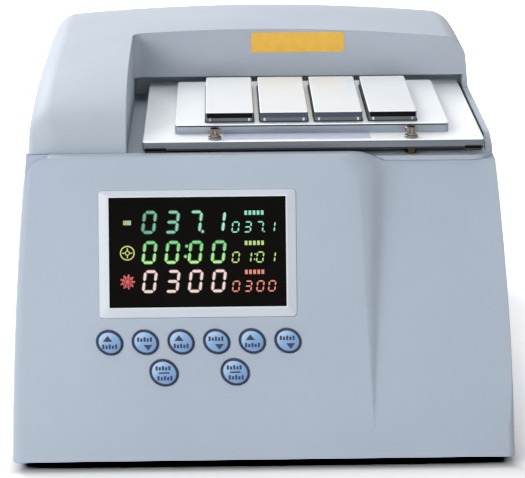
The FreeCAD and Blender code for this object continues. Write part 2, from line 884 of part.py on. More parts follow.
def key_switches():
    """One push switch on the board under each key."""
    solids = []
    for name, u, v, scale in key_places():
        top = switch_top_w()
        body = block(centred(u, switch_size), centred(v, switch_size),
                     (board_face_w, top - plunger_height))
        plunger = rod(u, v, (top - plunger_height, top), plunger_radius)
        solids.append(on_panel(fused([body, plunger])))
    return group(solids)


def panel_screws():
    """Screws of the two boards behind the panel, heads to the back."""
    solids = []
    back = board_face_w - board_thickness
    for u, v in board_screw_spots():
        head = rod(u, v, (back - 1.3, back), 2.0)
        shank = rod(u, v, (back, back + board_screw_length), 1.0)
        solids.append(on_panel(head.fuse(shank).removeSplitter()))
    return group(solids)


def key(u, v, scale):
    """An oval key: rounded cap in the panel's hole, flange behind the panel, short stem."""
    major = key_major * scale
    minor = key_minor * scale
    cap = oval(u, v, major, minor, (-panel_wall, key_proud))
    rim = [edge for edge in cap.Edges if abs(edge.BoundBox.ZMin - key_proud) < 0.01]
    cap = cap.makeChamfer(key_rounding, rim)
    flange = oval(u, v, major + key_flange, minor + key_flange,
                  (-panel_wall - key_flange_thickness, -panel_wall))
    low = -panel_wall - key_flange_thickness
    stem = rod(u, v, (low - key_stem_length, low), key_stem_radius)
    return on_panel(fused([cap, flange, stem]))


# Stage

def stage_middle():
    """Centre of the stage plate, which is also the drive's centre."""
    return ((stage_x[0] + stage_x[1]) / 2, stage_front_y + stage_depth / 2)


def standoff_spots():
    """Posts that carry the stage plate through the deck."""
    x, y = stage_middle()
    return [(x + sx * standoff_x, y + sy * standoff_y) for sx in (-1, 1) for sy in (-1, 1)]


def clamp_spots():
    """Places of the four clamp posts."""
    return [(x, y) for x in clamp_x for y in clamp_y]


def broken_edges(shape, height):
    """Break the sharp edges at one level."""
    edges = [edge for edge in shape.Edges
             if abs(edge.BoundBox.ZMin - height) < 0.001 and abs(edge.BoundBox.ZMax - height) < 0.001]
    return shape.makeChamfer(edge_break, edges)


def stage_plate():
    """Polished aluminium plate that the slides ride on."""
    z = (stage_top_height - stage_thickness, stage_top_height)
    y = (stage_front_y, stage_front_y + stage_depth)
    plate = broken_edges(rounded_block(stage_x, y, z, stage_corner), stage_top_height)
    cuts = []
    for x, spot_y in clamp_spots():
        cuts.append(rod(x, spot_y, (z[0] - 1.0, z[1] + 1.0), clamp_shank_radius + clamp_hole_gap))
    probe_z = (z[0] + z[1]) / 2
    cuts.append(rod_along_y(probe_x, probe_z, (y[1] - probe_depth, y[1] + 1.0), probe_radius + 0.1))
    return plate.cut(cuts)


def slide_adapter():
    """Slab that locates the four slide covers."""
    z = (stage_top_height, stage_top_height + adapter_thickness)
    slab = broken_edges(rounded_block(adapter_x, adapter_y, z, adapter_corner), z[1])
    holes = [rod(x, y, (z[1] - 3.0, z[1] + 1.0), cover_pin_radius) for x, y in cover_pin_spots()]
    return slab.cut(holes)


def cover_left(index):
    """Left edge of one slide cover."""
    return cover_first_x + index * cover_pitch


def cover_pin_spots():
    """Two locating pins for each cover, near its ends."""
    spots = []
    for index in range(4):
        x = cover_left(index) + cover_width / 2
        spots.append((x, cover_y[0] + cover_pin_inset))
        spots.append((x, cover_y[1] - cover_pin_inset))
    return spots


def adapter_pins():
    """Small dowels of the adapter that the covers drop over."""
    top = stage_top_height + adapter_thickness
    solids = []
    for x, y in cover_pin_spots():
        pin = rod(x, y, (top - 3.0, top + cover_pin_height), cover_pin_radius)
        rim = [edge for edge in pin.Edges if edge.BoundBox.ZMin > top + cover_pin_height - 0.01]
        solids.append(pin.makeChamfer(0.3, rim))
    return group(solids)


def slide_cover(index):
    """A lift-off block over one slide, hollowed below into a shallow chamber."""
    left = cover_left(index)
    z = (stage_top_height + adapter_thickness, stage_top_height + adapter_thickness + cover_thickness)
    body = broken_edges(rounded_block((left, left + cover_width), cover_y, z, 1.0), z[1])
    border = cover_recess_border
    chamber = rounded_block((left + border, left + cover_width - border),
                            (cover_y[0] + border + 1.0, cover_y[1] - border - 1.0),
                            (z[0] - 1.0, z[0] + cover_recess), 1.5)
    cuts = [chamber]
    for x, y in cover_pin_spots():
        if left < x < left + cover_width:
            cuts.append(rod(x, y, (z[0] - 1.0, z[0] + cover_pin_height + 0.3),
                            cover_pin_radius + cover_pin_gap))
    return body.cut(cuts)


def clamp_screws():
    """Bright posts that bolt the plate's fittings down: flange, neck and socket head."""
    low = stage_top_height
    solids = []
    for x, y in clamp_spots():
        neck_z = low + clamp_flange_height
        head_z = neck_z + clamp_neck_height
        top = low + clamp_total_height
        flange = rod(x, y, (low, neck_z), clamp_flange_radius)
        neck = rod(x, y, (neck_z, head_z), clamp_neck_radius)
        head = rod(x, y, (head_z, top), clamp_head_radius)
        rim = [edge for edge in head.Edges if edge.BoundBox.ZMin > top - 0.01]
        head = head.makeChamfer(0.6, rim)
        shank = rod(x, y, (low - stage_thickness - nut_height, low), clamp_shank_radius)
        socket = Part.makeCylinder(clamp_socket_radius, 2.2, Vector(x, y, top - 2.2))
        solids.append(fused([flange, neck, head, shank]).cut(socket))
    return group(solids)


def hexagon(x, y, flats, height):
    """A hexagon as a face."""
    radius = flats / 2 / math.cos(math.pi / 6)
    points = []
    for corner in range(6):
        angle = math.radians(60 * corner)
        points.append(Vector(x + radius * math.cos(angle), y + radius * math.sin(angle), height))
    return Part.Face(Part.makePolygon(points + [points[0]]))


def clamp_nuts():
    """Brass nuts below the stage plate."""
    top = stage_top_height - stage_thickness
    solids = []
    for x, y in clamp_spots():
        nut = hexagon(x, y, nut_flats, top - nut_height).extrude(Vector(0, 0, nut_height))
        bore = rod(x, y, (top - nut_height - 1.0, top + 1.0), clamp_shank_radius)
        solids.append(nut.cut(bore))
    return group(solids)


def mat(z):
    """A sheet below the stage plate, cut clear of the posts and nuts."""
    x = (stage_x[0] + mat_inset, stage_x[1] - mat_inset)
    y = (stage_front_y + mat_inset, stage_front_y + stage_depth - mat_inset)
    sheet = rounded_block(x, y, z, 4.0)
    cuts = [rod(px, py, (z[0] - 1.0, z[1] + 1.0), standoff_radius + 0.4) for px, py in standoff_spots()]
    for px, py in clamp_spots():
        cuts.append(rod(px, py, (z[0] - 1.0, z[1] + 1.0), nut_flats / 2 + 1.2))
    return sheet.cut(cuts)


def heater_mat():
    """Heating mat bonded under the stage plate."""
    top = stage_top_height - stage_thickness
    return mat((top - heater_thickness, top))


def insulation_pad():
    """Insulating pad under the heating mat."""
    top = stage_top_height - stage_thickness - heater_thickness
    return mat((top - pad_thickness, top))


def temperature_probe():
    """Sensor in a bore of the plate's back edge."""
    z = stage_top_height - stage_thickness / 2
    back = stage_front_y + stage_depth
    return rod_along_y(probe_x, z, (back - probe_depth + 0.5, back + probe_overhang), probe_radius)


# Orbital drive

def carrier_bottom():
    """Underside of the stage carrier."""
    return carrier_top_height - carrier_thickness


def bearing_bottom():
    """Underside of the bearings, which are flush with the carrier's top."""
    return carrier_top_height - bearing_height


def idler_spots_placed():
    """Axes of the three idler cranks."""
    x, y = stage_middle()
    return [(x + spot[0], y + spot[1]) for spot in idler_spots]


def chassis_post_spots():
    """Posts between the base plate and the drive's chassis."""
    x, y = stage_middle()
    dx = chassis_half_x - chassis_post_inset
    dy = chassis_half_y - chassis_post_inset
    return [(x + sx * dx, y + sy * dy) for sx in (-1, 1) for sy in (-1, 1)]


def chassis_plate():
    """Plate that holds the motor and the idlers' seats."""
    x, y = stage_middle()
    z = (chassis_top_height - chassis_thickness, chassis_top_height)
    plate = rounded_block((x - chassis_half_x, x + chassis_half_x), (y - chassis_half_y, y + chassis_half_y),
                          z, chassis_corner)
    through = (z[0] - 1.0, z[1] + 1.0)
    cuts = [rod(x, y, through, motor_pilot_radius + motor_pilot_gap)]
    for px, py in idler_spots_placed():
        cuts.append(rod(px, py, through, idler_bearing_radius))
    for px, py in motor_screw_spots():
        cuts.append(rod(px, py, through, screw_radius + screw_gap))
    for side in (-1, 1):
        middle_x = x + side * (chassis_half_x - 34.0)
        cuts.append(rounded_block(centred(middle_x, 26.0), centred(y - 12.0, 44.0), through, 5.0))
    return plate.cut(cuts)


def chassis_posts():
    """Four posts under the chassis, tapped at the bottom."""
    solids = []
    top = chassis_top_height - chassis_thickness
    for x, y in chassis_post_spots():
        post = rod(x, y, (base_thickness, top), chassis_post_radius)
        hole = rod(x, y, (0.0, base_thickness + 9.0), screw_radius + screw_gap)
        solids.append(post.cut(hole))
    return group(solids)


def motor_screw_spots():
    """The motor's four fixing screws."""
    x, y = stage_middle()
    half = motor_hole_spacing / 2
    return [(x + sx * half, y + sy * half) for sx in (-1, 1) for sy in (-1, 1)]


def motor_body():
    """Square motor hanging below the chassis, with its locating spigot."""
    x, y = stage_middle()
    top = chassis_top_height - chassis_thickness
    low = top - motor_length
    body = rounded_block((x - motor_half, x + motor_half), (y - motor_half, y + motor_half), (low, top),
                         motor_corner)
    spigot = rod(x, y, (top, top + motor_pilot_height), motor_pilot_radius)
    waist = rounded_block((x - motor_half - 1, x + motor_half + 1), (y - motor_half - 1, y + motor_half + 1),
                          (low + 9.0, top - 9.0), motor_corner)
    core = rounded_block((x - motor_half + 0.8, x + motor_half - 0.8),
                         (y - motor_half + 0.8, y + motor_half - 0.8), (low + 9.0, top - 9.0), motor_corner)
    body = body.cut(waist.cut(core)).fuse(spigot)
    cuts = [rod(x, y, (top - motor_shaft_depth - 1.0, top + 5.0), motor_shaft_radius + motor_shaft_gap)]
    for px, py in motor_screw_spots():
        cuts.append(rod(px, py, (top - 5.0, top + 1.0), screw_radius + screw_gap))
    return body.cut(cuts)


def motor_screws():
    """Screws through the chassis into the motor."""
    solids = []
    top = chassis_top_height
    for x, y in motor_screw_spots():
        head = rod(x, y, (top, top + screw_head_height), screw_head_radius)
        shank = rod(x, y, (top - chassis_thickness - 4.0, top), screw_radius)
        solids.append(head.fuse(shank).removeSplitter())
    return group(solids)


def motor_shaft():
    """The motor's shaft."""
    x, y = stage_middle()
    top = chassis_top_height - chassis_thickness
    return rod(x, y, (top - motor_shaft_depth, hub_bottom_height + hub_height - 2.0), motor_shaft_radius)


def crank_pin_x():
    """The drive's crank pin stands one orbit radius to the right at rest."""
    return stage_middle()[0] + orbit_radius


def eccentric_shaft():
    """Hub on the motor's shaft with an offset pin for the stage."""
    x, y = stage_middle()
    hub_top = hub_bottom_height + hub_height
    hub = rod(x, y, (hub_bottom_height, hub_top), hub_radius)
    bore = rod(x, y, (hub_bottom_height - 1.0, hub_top - 2.0), motor_shaft_radius)
    shoulder = rod(crank_pin_x(), y, (hub_top, bearing_bottom() - shoulder_gap), crank_shoulder_radius)
    pin = rod(crank_pin_x(), y, (bearing_bottom() - shoulder_gap, carrier_top_height + 0.6),
              crank_pin_radius)
    return fused([hub, shoulder, pin]).cut(bore)


def counterweight():
    """Half disc opposite the crank pin."""
    x, y = stage_middle()
    z = (hub_bottom_height + 1.0, hub_bottom_height + 1.0 + counterweight_height)
    disc = rod(x, y, z, counterweight_radius)
    keep = block((x - counterweight_radius - 1, x - 2.0), centred(y, 2 * counterweight_radius + 2), z)
    ring = rod(x, y, z, hub_radius + 3.0)
    bore = rod(x, y, (z[0] - 1, z[1] + 1), hub_radius)
    return disc.common(keep).fuse(ring).removeSplitter().cut(bore)


def bearing(x, y, z, outer, inner):
    """A ball bearing: a ring with a shallow groove between its races on both faces."""
    ring = rod(x, y, z, outer).cut(rod(x, y, (z[0] - 1, z[1] + 1), inner))
    middle = (outer + inner) / 2
    reach = 0.22 * (outer - inner)
    grooves = []
    for low, high in ((z[0] - 1, z[0] + 0.5), (z[1] - 0.5, z[1] + 1)):
        groove = rod(x, y, (low, high), middle + reach).cut(rod(x, y, (low - 1, high + 1), middle - reach))
        grooves.append(groove)
    return ring.cut(grooves)


def drive_bearing():
    """Bearing of the crank pin, pressed into the carrier."""
    return bearing(crank_pin_x(), stage_middle()[1], (bearing_bottom(), carrier_top_height),
                   drive_bearing_radius, crank_pin_radius + pin_gap)


def idler_pin_bearings():
    """Bearings of the three idler pins in the carrier."""
    return group([bearing(x + orbit_radius, y, (bearing_bottom(), carrier_top_height),
                          idler_bearing_radius, idler_pin_radius + pin_gap)
                  for x, y in idler_spots_placed()])


def seat_bearing_z():
    """Levels of the idlers' lower bearings."""
    low = chassis_top_height - chassis_thickness
    return (low, low + bearing_height)


def idler_seat_bearings():
    """Bearings of the three idlers in the chassis plate."""
    return group([bearing(x, y, seat_bearing_z(), idler_bearing_radius, idler_pin_radius + pin_gap)
                  for x, y in idler_spots_placed()])


def idler_crank(x, y):
    """An idler: journal below, disc, and an offset pin above."""
    low, high = seat_bearing_z()
    disc_z = (high + idler_disc_gap, high + idler_disc_gap + idler_disc_height)
    journal = rod(x, y, (low - 1.0, disc_z[0]), idler_pin_radius)
    disc = rod(x, y, disc_z, idler_disc_radius)
    shoulder = rod(x + orbit_radius, y, (disc_z[1], bearing_bottom() - shoulder_gap), idler_shoulder_radius)
    pin = rod(x + orbit_radius, y, (bearing_bottom() - shoulder_gap, carrier_top_height + 0.6),
              idler_pin_radius)
    return fused([journal, disc, shoulder, pin])


def stage_carrier():
    """Ribbed plate that the cranks move in a circle without turning."""
    x, y = stage_middle()
    z = (carrier_bottom(), carrier_top_height)
    plate = rounded_block((x - carrier_half_x, x + carrier_half_x), (y - carrier_half_y, y + carrier_half_y),
                          z, carrier_corner)
    bosses = [rod(crank_pin_x(), y, (bearing_bottom(), z[1]), drive_bearing_radius + 3.0)]
    for px, py in idler_spots_placed():
        bosses.append(rod(px + orbit_radius, py, (bearing_bottom(), z[1]), idler_bearing_radius + 2.5))
    carrier = plate.fuse(bosses).removeSplitter()
    through = (bearing_bottom() - 1.0, z[1] + 1.0)
    cuts = [rod(crank_pin_x(), y, through, drive_bearing_radius)]
    for px, py in idler_spots_placed():
        cuts.append(rod(px + orbit_radius, py, through, idler_bearing_radius))
    for side in (-1, 1):
        middle_x = x + side * (carrier_half_x - carrier_window_inset - carrier_window[0] / 2)
        cuts.append(rounded_block(centred(middle_x, carrier_window[0]), centred(y - 8.0, carrier_window[1]),
                                  through, 5.0))
    return carrier.cut(cuts)


def carrier_standoffs():
    """Four posts from the carrier up to the stage plate."""
    z = (carrier_top_height, stage_top_height - stage_thickness)
    return group([rod(x, y, z, standoff_radius) for x, y in standoff_spots()])


# Back of the case

def rear_opening():
    """Opening in the back wall that shows the connector panel."""
    face = plan_outline(0.0, rear_opening_z[0], rear_opening_z[1], -rear_opening_half_x,
                        rear_opening_half_x, rear_opening_radius, rear_opening_radius)
    solid = Part.Face(face).extrude(Vector(0, 0, wall + 4.0))
    return stand_up(solid, overall_depth + 2.0)


def stand_up(shape, y):
    """Turn a shape drawn in (x, z) with its thickness forward, back face at y."""
    placed = shape.copy()
    placed.rotate(Vector(0, 0, 0), Vector(1, 0, 0), 90)
    placed.translate(Vector(0, y, 0))
    return placed


def rear_plate(x, z, thickness, radius, back):
    """An upright rounded plate whose back face is at one depth."""
    face = Part.Face(plan_outline(0.0, z[0], z[1], x[0], x[1], radius, radius))
    return stand_up(face.extrude(Vector(0, 0, thickness)), back)


def rear_inner():
    """Inner face of the housing's back wall."""
    return overall_depth - wall


def rear_screw_spots():
    """Screws in the four corners of the connector panel."""
    x = rear_opening_half_x + rear_screw_inset
    return [(sx * x, z) for sx in (-1, 1)
            for z in (rear_opening_z[0] - rear_screw_inset, rear_opening_z[1] + rear_screw_inset)]


def fan_screw_spots():
    """Screws of the fan."""
    return [(fan_x + sx * fan_hole_spacing, fan_z + sz * fan_hole_spacing)
            for sx in (-1, 1) for sz in (-1, 1)]


def rear_panel():
    """Connector panel behind the opening, with cut-outs for inlet, switch and fan."""
    x = rear_opening_half_x + rear_panel_margin
    z = (rear_opening_z[0] - rear_panel_margin, rear_opening_z[1] + rear_panel_margin)
    back = rear_inner()
    front = back - rear_panel_thickness
    plate = rear_plate((-x, x), z, rear_panel_thickness, 3.0, back)
    body_x = centred(inlet_x, inlet_body[0] + 0.4)
    body_z = centred(inlet_z, inlet_body[1] + 0.4)
    frame_x = centred(switch_x, rocker_frame_body[0] + 0.4)
    frame_z = centred(switch_z, rocker_frame_body[1] + 0.4)
    cuts = [block(body_x, (front - 1, back + 1), body_z),
            block(frame_x, (front - 1, back + 1), frame_z),
            rod_along_y(fan_x, fan_z, (front - 1, back + 1), fan_bore_radius)]
    for px, pz in rear_screw_spots() + fan_screw_spots():
        cuts.append(rod_along_y(px, pz, (front - 1, back + 1), screw_radius + screw_gap))
    return plate.cut(cuts)


def screw_forward(x, z, seat, length):
    """A pan-head screw driven from the back."""
    head = Part.makeCone(screw_head_radius, screw_head_radius * 0.8, screw_head_height - 0.1,
                         Vector(x, seat, z), Vector(0, 1, 0))
    shank = rod_along_y(x, z, (seat - length, seat), screw_radius)
    return head.fuse(shank).removeSplitter()


def rear_screws():
    """Screws of the connector panel and of the fan."""
    solids = []
    for x, z in rear_screw_spots():
        solids.append(screw_forward(x, z, overall_depth - screw_head_height, 8.0))
    for x, z in fan_screw_spots():
        solids.append(screw_forward(x, z, rear_inner() + guard_wire, 12.0))
    return group(solids)


def power_inlet():
    """Mains inlet: flange, body, three-pin cavity and the fuse drawer's slot."""
    back = rear_inner() + inlet_flange_thickness
    flange = rear_plate(centred(inlet_x, inlet_flange[0]), centred(inlet_z, inlet_flange[1]),
                        inlet_flange_thickness, 3.0, back)
    body = block(centred(inlet_x, inlet_body[0]), (rear_inner() - inlet_depth, rear_inner()),
                 centred(inlet_z, inlet_body[1]))
    solid = flange.fuse(body)
    half_x = inlet_cavity[0] / 2
    half_z = inlet_cavity[1] / 2
    cut_corner = inlet_cavity_corner
    middle_z = inlet_z + inlet_cavity_rise
    outline = [(-half_x, -half_z), (half_x, -half_z), (half_x, half_z - cut_corner),
               (half_x - cut_corner, half_z), (cut_corner - half_x, half_z), (-half_x, half_z - cut_corner)]
    points = [Vector(inlet_x + px, back + 1.0, middle_z + pz) for px, pz in outline]
    mouth = Part.Face(Part.makePolygon(points + [points[0]]))
    cavity = mouth.extrude(Vector(0, -inlet_cavity_depth - 1.0, 0))
    drawer = block(centred(inlet_x, fuse_size[0] + 2 * fuse_gap), (back - fuse_depth - fuse_gap, back + 1.0),
                   centred(inlet_z - fuse_drop, fuse_size[1] + 2 * fuse_gap))
    return solid.cut([cavity, drawer]).removeSplitter()


def inlet_pins():
    """Three blades in the inlet, the middle one raised."""
    floor = rear_inner() + inlet_flange_thickness - inlet_cavity_depth
    solids = []
    for step, lift in ((-1, -1.5), (0, 1.9), (1, -1.5)):
        x = centred(inlet_x + step * blade_spread, blade_size[0])
        z = centred(inlet_z + inlet_cavity_rise + lift, blade_size[1])
        solids.append(block(x, (floor, floor + blade_length), z))
    return group(solids)


def fuse_drawer():
    """Small drawer below the inlet's cavity with a finger lip."""
    back = rear_inner() + inlet_flange_thickness
    size_x = centred(inlet_x, fuse_size[0])
    size_z = centred(inlet_z - fuse_drop, fuse_size[1])
    tray = block(size_x, (back - fuse_depth, back), size_z)
    well = block(centred(inlet_x, fuse_size[0] - 5.0), (back - fuse_depth + 2.0, back - 2.5),
                 (size_z[0] + 1.5, size_z[1] + 1.0))
    grip = block(centred(inlet_x, 9.0), (back - 1.0, back + 1.0), (size_z[1] - 1.6, size_z[1] + 1.0))
    return tray.cut([well, grip])


def switch_frame():
    """Frame of the mains rocker with its trunnion holes."""
    back = rear_inner() + rocker_frame_thickness
    flange = rear_plate(centred(switch_x, rocker_frame[0]), centred(switch_z, rocker_frame[1]),
                        rocker_frame_thickness, 1.2, back)
    body = block(centred(switch_x, rocker_frame_body[0]), (rear_inner() - rocker_frame_depth, rear_inner()),
                 centred(switch_z, rocker_frame_body[1]))
    opening = block(centred(switch_x, rocker_opening[0]), (back - 13.0, back + 1.0),
                    centred(switch_z, rocker_opening[1]))
    axis_y = back - rocker_axis_depth
    holes = Part.makeCylinder(rocker_pin_radius + rocker_pin_gap, rocker_opening[0] + 2.4,
                              Vector(switch_x - rocker_opening[0] / 2 - 1.2, axis_y, switch_z),
                              Vector(1, 0, 0))
    return flange.fuse(body).cut([opening, holes]).removeSplitter()


def rocker_axis_y():
    """Depth of the rocker's axis."""
    return rear_inner() + rocker_frame_thickness - rocker_axis_depth


def switch_rocker():
    """The rocker: a shallow V on two trunnions, resting on its ON side."""
    axis_y = rocker_axis_y()
    half = rocker_height / 2
    reach = rocker_axis_depth + rocker_proud
    profile = [(-half, reach), (0.0, reach - 1.3), (half, reach), (half, 1.6), (0.0, -2.2), (-half, 1.6)]
    width = rocker_opening[0] - 2 * rocker_gap
    points = [Vector(switch_x - width / 2, axis_y + y, switch_z + z) for z, y in profile]
    body = Part.Face(Part.makePolygon(points + [points[0]])).extrude(Vector(width, 0, 0))
    bound = Part.makeCylinder(half, width, Vector(switch_x - width / 2, axis_y, switch_z), Vector(1, 0, 0))
    foot = block(centred(switch_x, width), (axis_y, axis_y + reach + 1.0), centred(switch_z, 4 * half))
    body = body.common(bound.fuse(foot))
    pin = Part.makeCylinder(rocker_pin_radius, width + 2 * rocker_gap + 2.0,
                            Vector(switch_x - width / 2 - rocker_gap - 1.0, axis_y, switch_z),
                            Vector(1, 0, 0))
    rocker = body.fuse(pin).removeSplitter()
    rocker.rotate(Vector(switch_x, axis_y, switch_z), Vector(1, 0, 0), rocker_rest_turn)
    return rocker


def fan_back():
    """The fan sits against the connector panel's inner face."""
    return rear_inner() - rear_panel_thickness


def fan_frame():
    """Square fan frame with a round duct, a hub and three spokes."""
    back = fan_back()
    y = (back - fan_depth, back)
    frame = rear_plate(centred(fan_x, 2 * fan_half), centred(fan_z, 2 * fan_half), fan_depth, 4.0, back)
    frame = frame.cut(rod_along_y(fan_x, fan_z, (y[0] - 1, y[1] + 1), fan_bore_radius))
    hub = rod_along_y(fan_x, fan_z, (y[0], y[0] + 3.0), fan_hub_radius)
    spokes = []
    for index in range(3):
        spoke = block((fan_x - 1.6, fan_x + 1.6), (y[0], y[0] + 2.0), (fan_z, fan_z + fan_bore_radius + 1.0))
        spoke.rotate(Vector(fan_x, 0, fan_z), Vector(0, 1, 0), 120 * index + 30)
        spokes.append(spoke)
    sleeve = rod_along_y(fan_x, fan_z, (y[0], y[1] - 4.0), 3.5)
    frame = frame.fuse([hub, sleeve] + spokes)
    cuts = [rod_along_y(fan_x, fan_z, (y[0] + 1.0, y[1] + 1.0), fan_shaft_radius + fan_shaft_gap)]
    for x, z in fan_screw_spots():
        cuts.append(rod_along_y(x, z, (y[0] - 1, y[1] + 1), screw_radius + screw_gap))
    return frame.cut(cuts).removeSplitter()


def fan_rotor():
    """Rotor: cup, pitched blades and a shaft in the frame's sleeve."""
    back = fan_back()
    y = (back - fan_depth + 3.4, back - 1.0)
    cup = rod_along_y(fan_x, fan_z, y, fan_hub_radius)
    cup = cup.cut(rod_along_y(fan_x, fan_z, (y[0] - 1, y[1] - 1.5), fan_hub_radius - 1.5))
    shaft = rod_along_y(fan_x, fan_z, (y[0] - 1.0, y[1]), fan_shaft_radius)
    blades = []
    for index in range(fan_blade_count):
        blade = block((fan_x - fan_blade_thickness / 2, fan_x + fan_blade_thickness / 2),
                      (y[0] - 6.0, y[1] + 6.0), (fan_z + fan_hub_radius - 0.8, fan_z + fan_blade_tip))
        middle = Vector(fan_x, (y[0] + y[1]) / 2, fan_z)
        blade.rotate(middle, Vector(0, 0, 1), fan_blade_turn)
        blade.rotate(middle, Vector(0, 1, 0), 360.0 / fan_blade_count * index)
        blades.append(blade)
    swept = rod_along_y(fan_x, fan_z, y, fan_blade_tip - 0.3)
    blades = [blade.common(swept) for blade in blades]
    return fused([cup] + blades + [shaft])


def fan_guard():
    """Wire guard over the fan's opening: rings and four radial wires."""
    seat = rear_inner()
    solids = []
    for radius in guard_ring_radii:
        ring = rod_along_y(fan_x, fan_z, (seat, seat + guard_wire), radius + guard_wire / 2)
        solids.append(ring.cut(rod_along_y(fan_x, fan_z, (seat - 1, seat + 2), radius - guard_wire / 2)))
    reach = fan_hole_spacing
    for turn in (45, 135):
        length = 2 * reach * math.sqrt(2)
        wire = block((fan_x - length / 2, fan_x + length / 2), (seat, seat + guard_wire),
                     centred(fan_z, 2 * guard_wire))
        wire.rotate(Vector(fan_x, 0, fan_z), Vector(0, 1, 0), turn)
        solids.append(wire)
    for x, z in fan_screw_spots():
        solids.append(rod_along_y(x, z, (seat, seat + guard_wire), screw_head_radius + 0.5))
    guard = fused(solids)
    holes = [rod_along_y(x, z, (seat - 1, seat + 2), screw_radius + screw_gap) for x, z in fan_screw_spots()]
    return guard.cut(holes)


# Boards inside

def board_post_spots():
    """Posts of the power supply and of the control board."""
    spots = []
    for x, y in ((supply_x, supply_y), (control_x, control_y)):
        for px in (x[0] + 4.0, x[1] - 4.0):
            for py in (y[0] + 4.0, y[1] - 4.0):
                spots.append((px, py))
    return spots


def board_posts():
    """Short posts on the base plate for both boards."""
    z = (base_thickness, base_thickness + board_post_height)
    through = (z[0] - 1, z[1] - 1.5)
    return group([rod(x, y, z, board_post_radius).cut(rod(x, y, through, screw_radius + screw_gap))
                  for x, y in board_post_spots()])


def power_supply():
    """Open supply board with transformer, capacitors and heat sink."""
    low = base_thickness + board_post_height
    top = low + board_thickness
    board = block(supply_x, supply_y, (low, top))
    x = (supply_x[0] + supply_x[1]) / 2
    y = (supply_y[0] + supply_y[1]) / 2
    transformer = block(centred(x, 30.0), centred(y, 32.0), (top, top + 26.0))
    winding = block(centred(x, 36.0), centred(y, 20.0), (top, top + 20.0))
    sink = block((supply_x[0] + 2.0, supply_x[0] + 5.0), centred(y, 70.0), (top, top + 30.0))
    parts = [board, transformer, winding, sink]
    for step in (-1, 0, 1):
        parts.append(rod(x + 9.0 * step + 3.0, y + 38.0, (top, top + 24.0), 4.0))
    parts.append(rod(x + 4.0, y - 38.0, (top, top + 28.0), 9.0))
    return fused(parts)


def control_board():
    """Main board with its processor, drivers and plugs."""
    low = base_thickness + board_post_height
    top = low + board_thickness
    board = block(control_x, control_y, (low, top))
    x = (control_x[0] + control_x[1]) / 2
    y = (control_y[0] + control_y[1]) / 2
    parts = [board]
    parts.append(block(centred(x - 2.0, 14.0), centred(y - 1.0, 14.0), (top, top + 2.0)))
    for index in range(3):
        parts.append(block(centred(x - 36.0 + 13.0 * index, 9.0), centred(y + 17.0, 8.0), (top, top + 9.0)))
    for index in range(4):
        parts.append(block(centred(x - 36.0 + 18.0 * index, 12.0), centred(y - 25.0, 6.0), (top, top + 8.0)))
    parts.append(block(centred(x + 32.0, 18.0), centred(y + 7.0, 22.0), (top, top + 16.0)))
    return fused(parts)


def all_parts():
    """Every node of the object by name."""
    parts = {
        "lower_housing": lower_housing(),
        "upper_hood": upper_hood(),
        "base_plate": base_plate(),
        "feet": feet(),
        "case_screws": case_screws(),
        "hood_screws": hood_screws(),
        "display_bezel": display_bezel(),
        "display_window": display_window(),
        "display_module": display_module(),
        "keypad_board": keypad_board(),
        "key_switches": key_switches(),
        "panel_screws": panel_screws(),
        "stage_plate": stage_plate(),
        "slide_adapter": slide_adapter(),
        "adapter_pins": adapter_pins(),
        "clamp_screws": clamp_screws(),
        "clamp_nuts": clamp_nuts(),
        "heater_mat": heater_mat(),
        "insulation_pad": insulation_pad(),
        "temperature_probe": temperature_probe(),
        "chassis_plate": chassis_plate(),
        "chassis_posts": chassis_posts(),
        "motor_body": motor_body(),
        "motor_screws": motor_screws(),
        "motor_shaft": motor_shaft(),
        "eccentric_shaft": eccentric_shaft(),
        "counterweight": counterweight(),
        "drive_bearing": drive_bearing(),
        "idler_pin_bearings": idler_pin_bearings(),
        "idler_seat_bearings": idler_seat_bearings(),
        "stage_carrier": stage_carrier(),
        "carrier_standoffs": carrier_standoffs(),
        "rear_panel": rear_panel(),
        "rear_screws": rear_screws(),
        "power_inlet": power_inlet(),
        "inlet_pins": inlet_pins(),
        "fuse_drawer": fuse_drawer(),
        "switch_frame": switch_frame(),
        "switch_rocker": switch_rocker(),
        "fan_frame": fan_frame(),
        "fan_rotor": fan_rotor(),
        "fan_guard": fan_guard(),
        "board_posts": board_posts(),
        "power_supply": power_supply(),
        "control_board": control_board(),
    }
    for name, u, v, scale in key_places():
        parts[name] = key(u, v, scale)
    for index in range(4):
        parts["slide_cover_" + str(index + 1)] = slide_cover(index)
    for index, (x, y) in enumerate(idler_spots_placed()):
        parts["idler_crank_" + str(index + 1)] = idler_crank(x, y)
    return parts


def export():
    """Write each node, moved so that the origin is on the bench below the case's middle."""
    os.makedirs("parts", exist_ok=True)
    for name, shape in all_parts().items():
        placed = shape.copy()
        placed.translate(Vector(0, -overall_depth / 2, foot_height))
        placed.exportStep("parts/" + name + ".step")


export()
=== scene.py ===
import math

import bmesh
import bpy
import numpy as np
from mathutils import Euler, Matrix, Vector


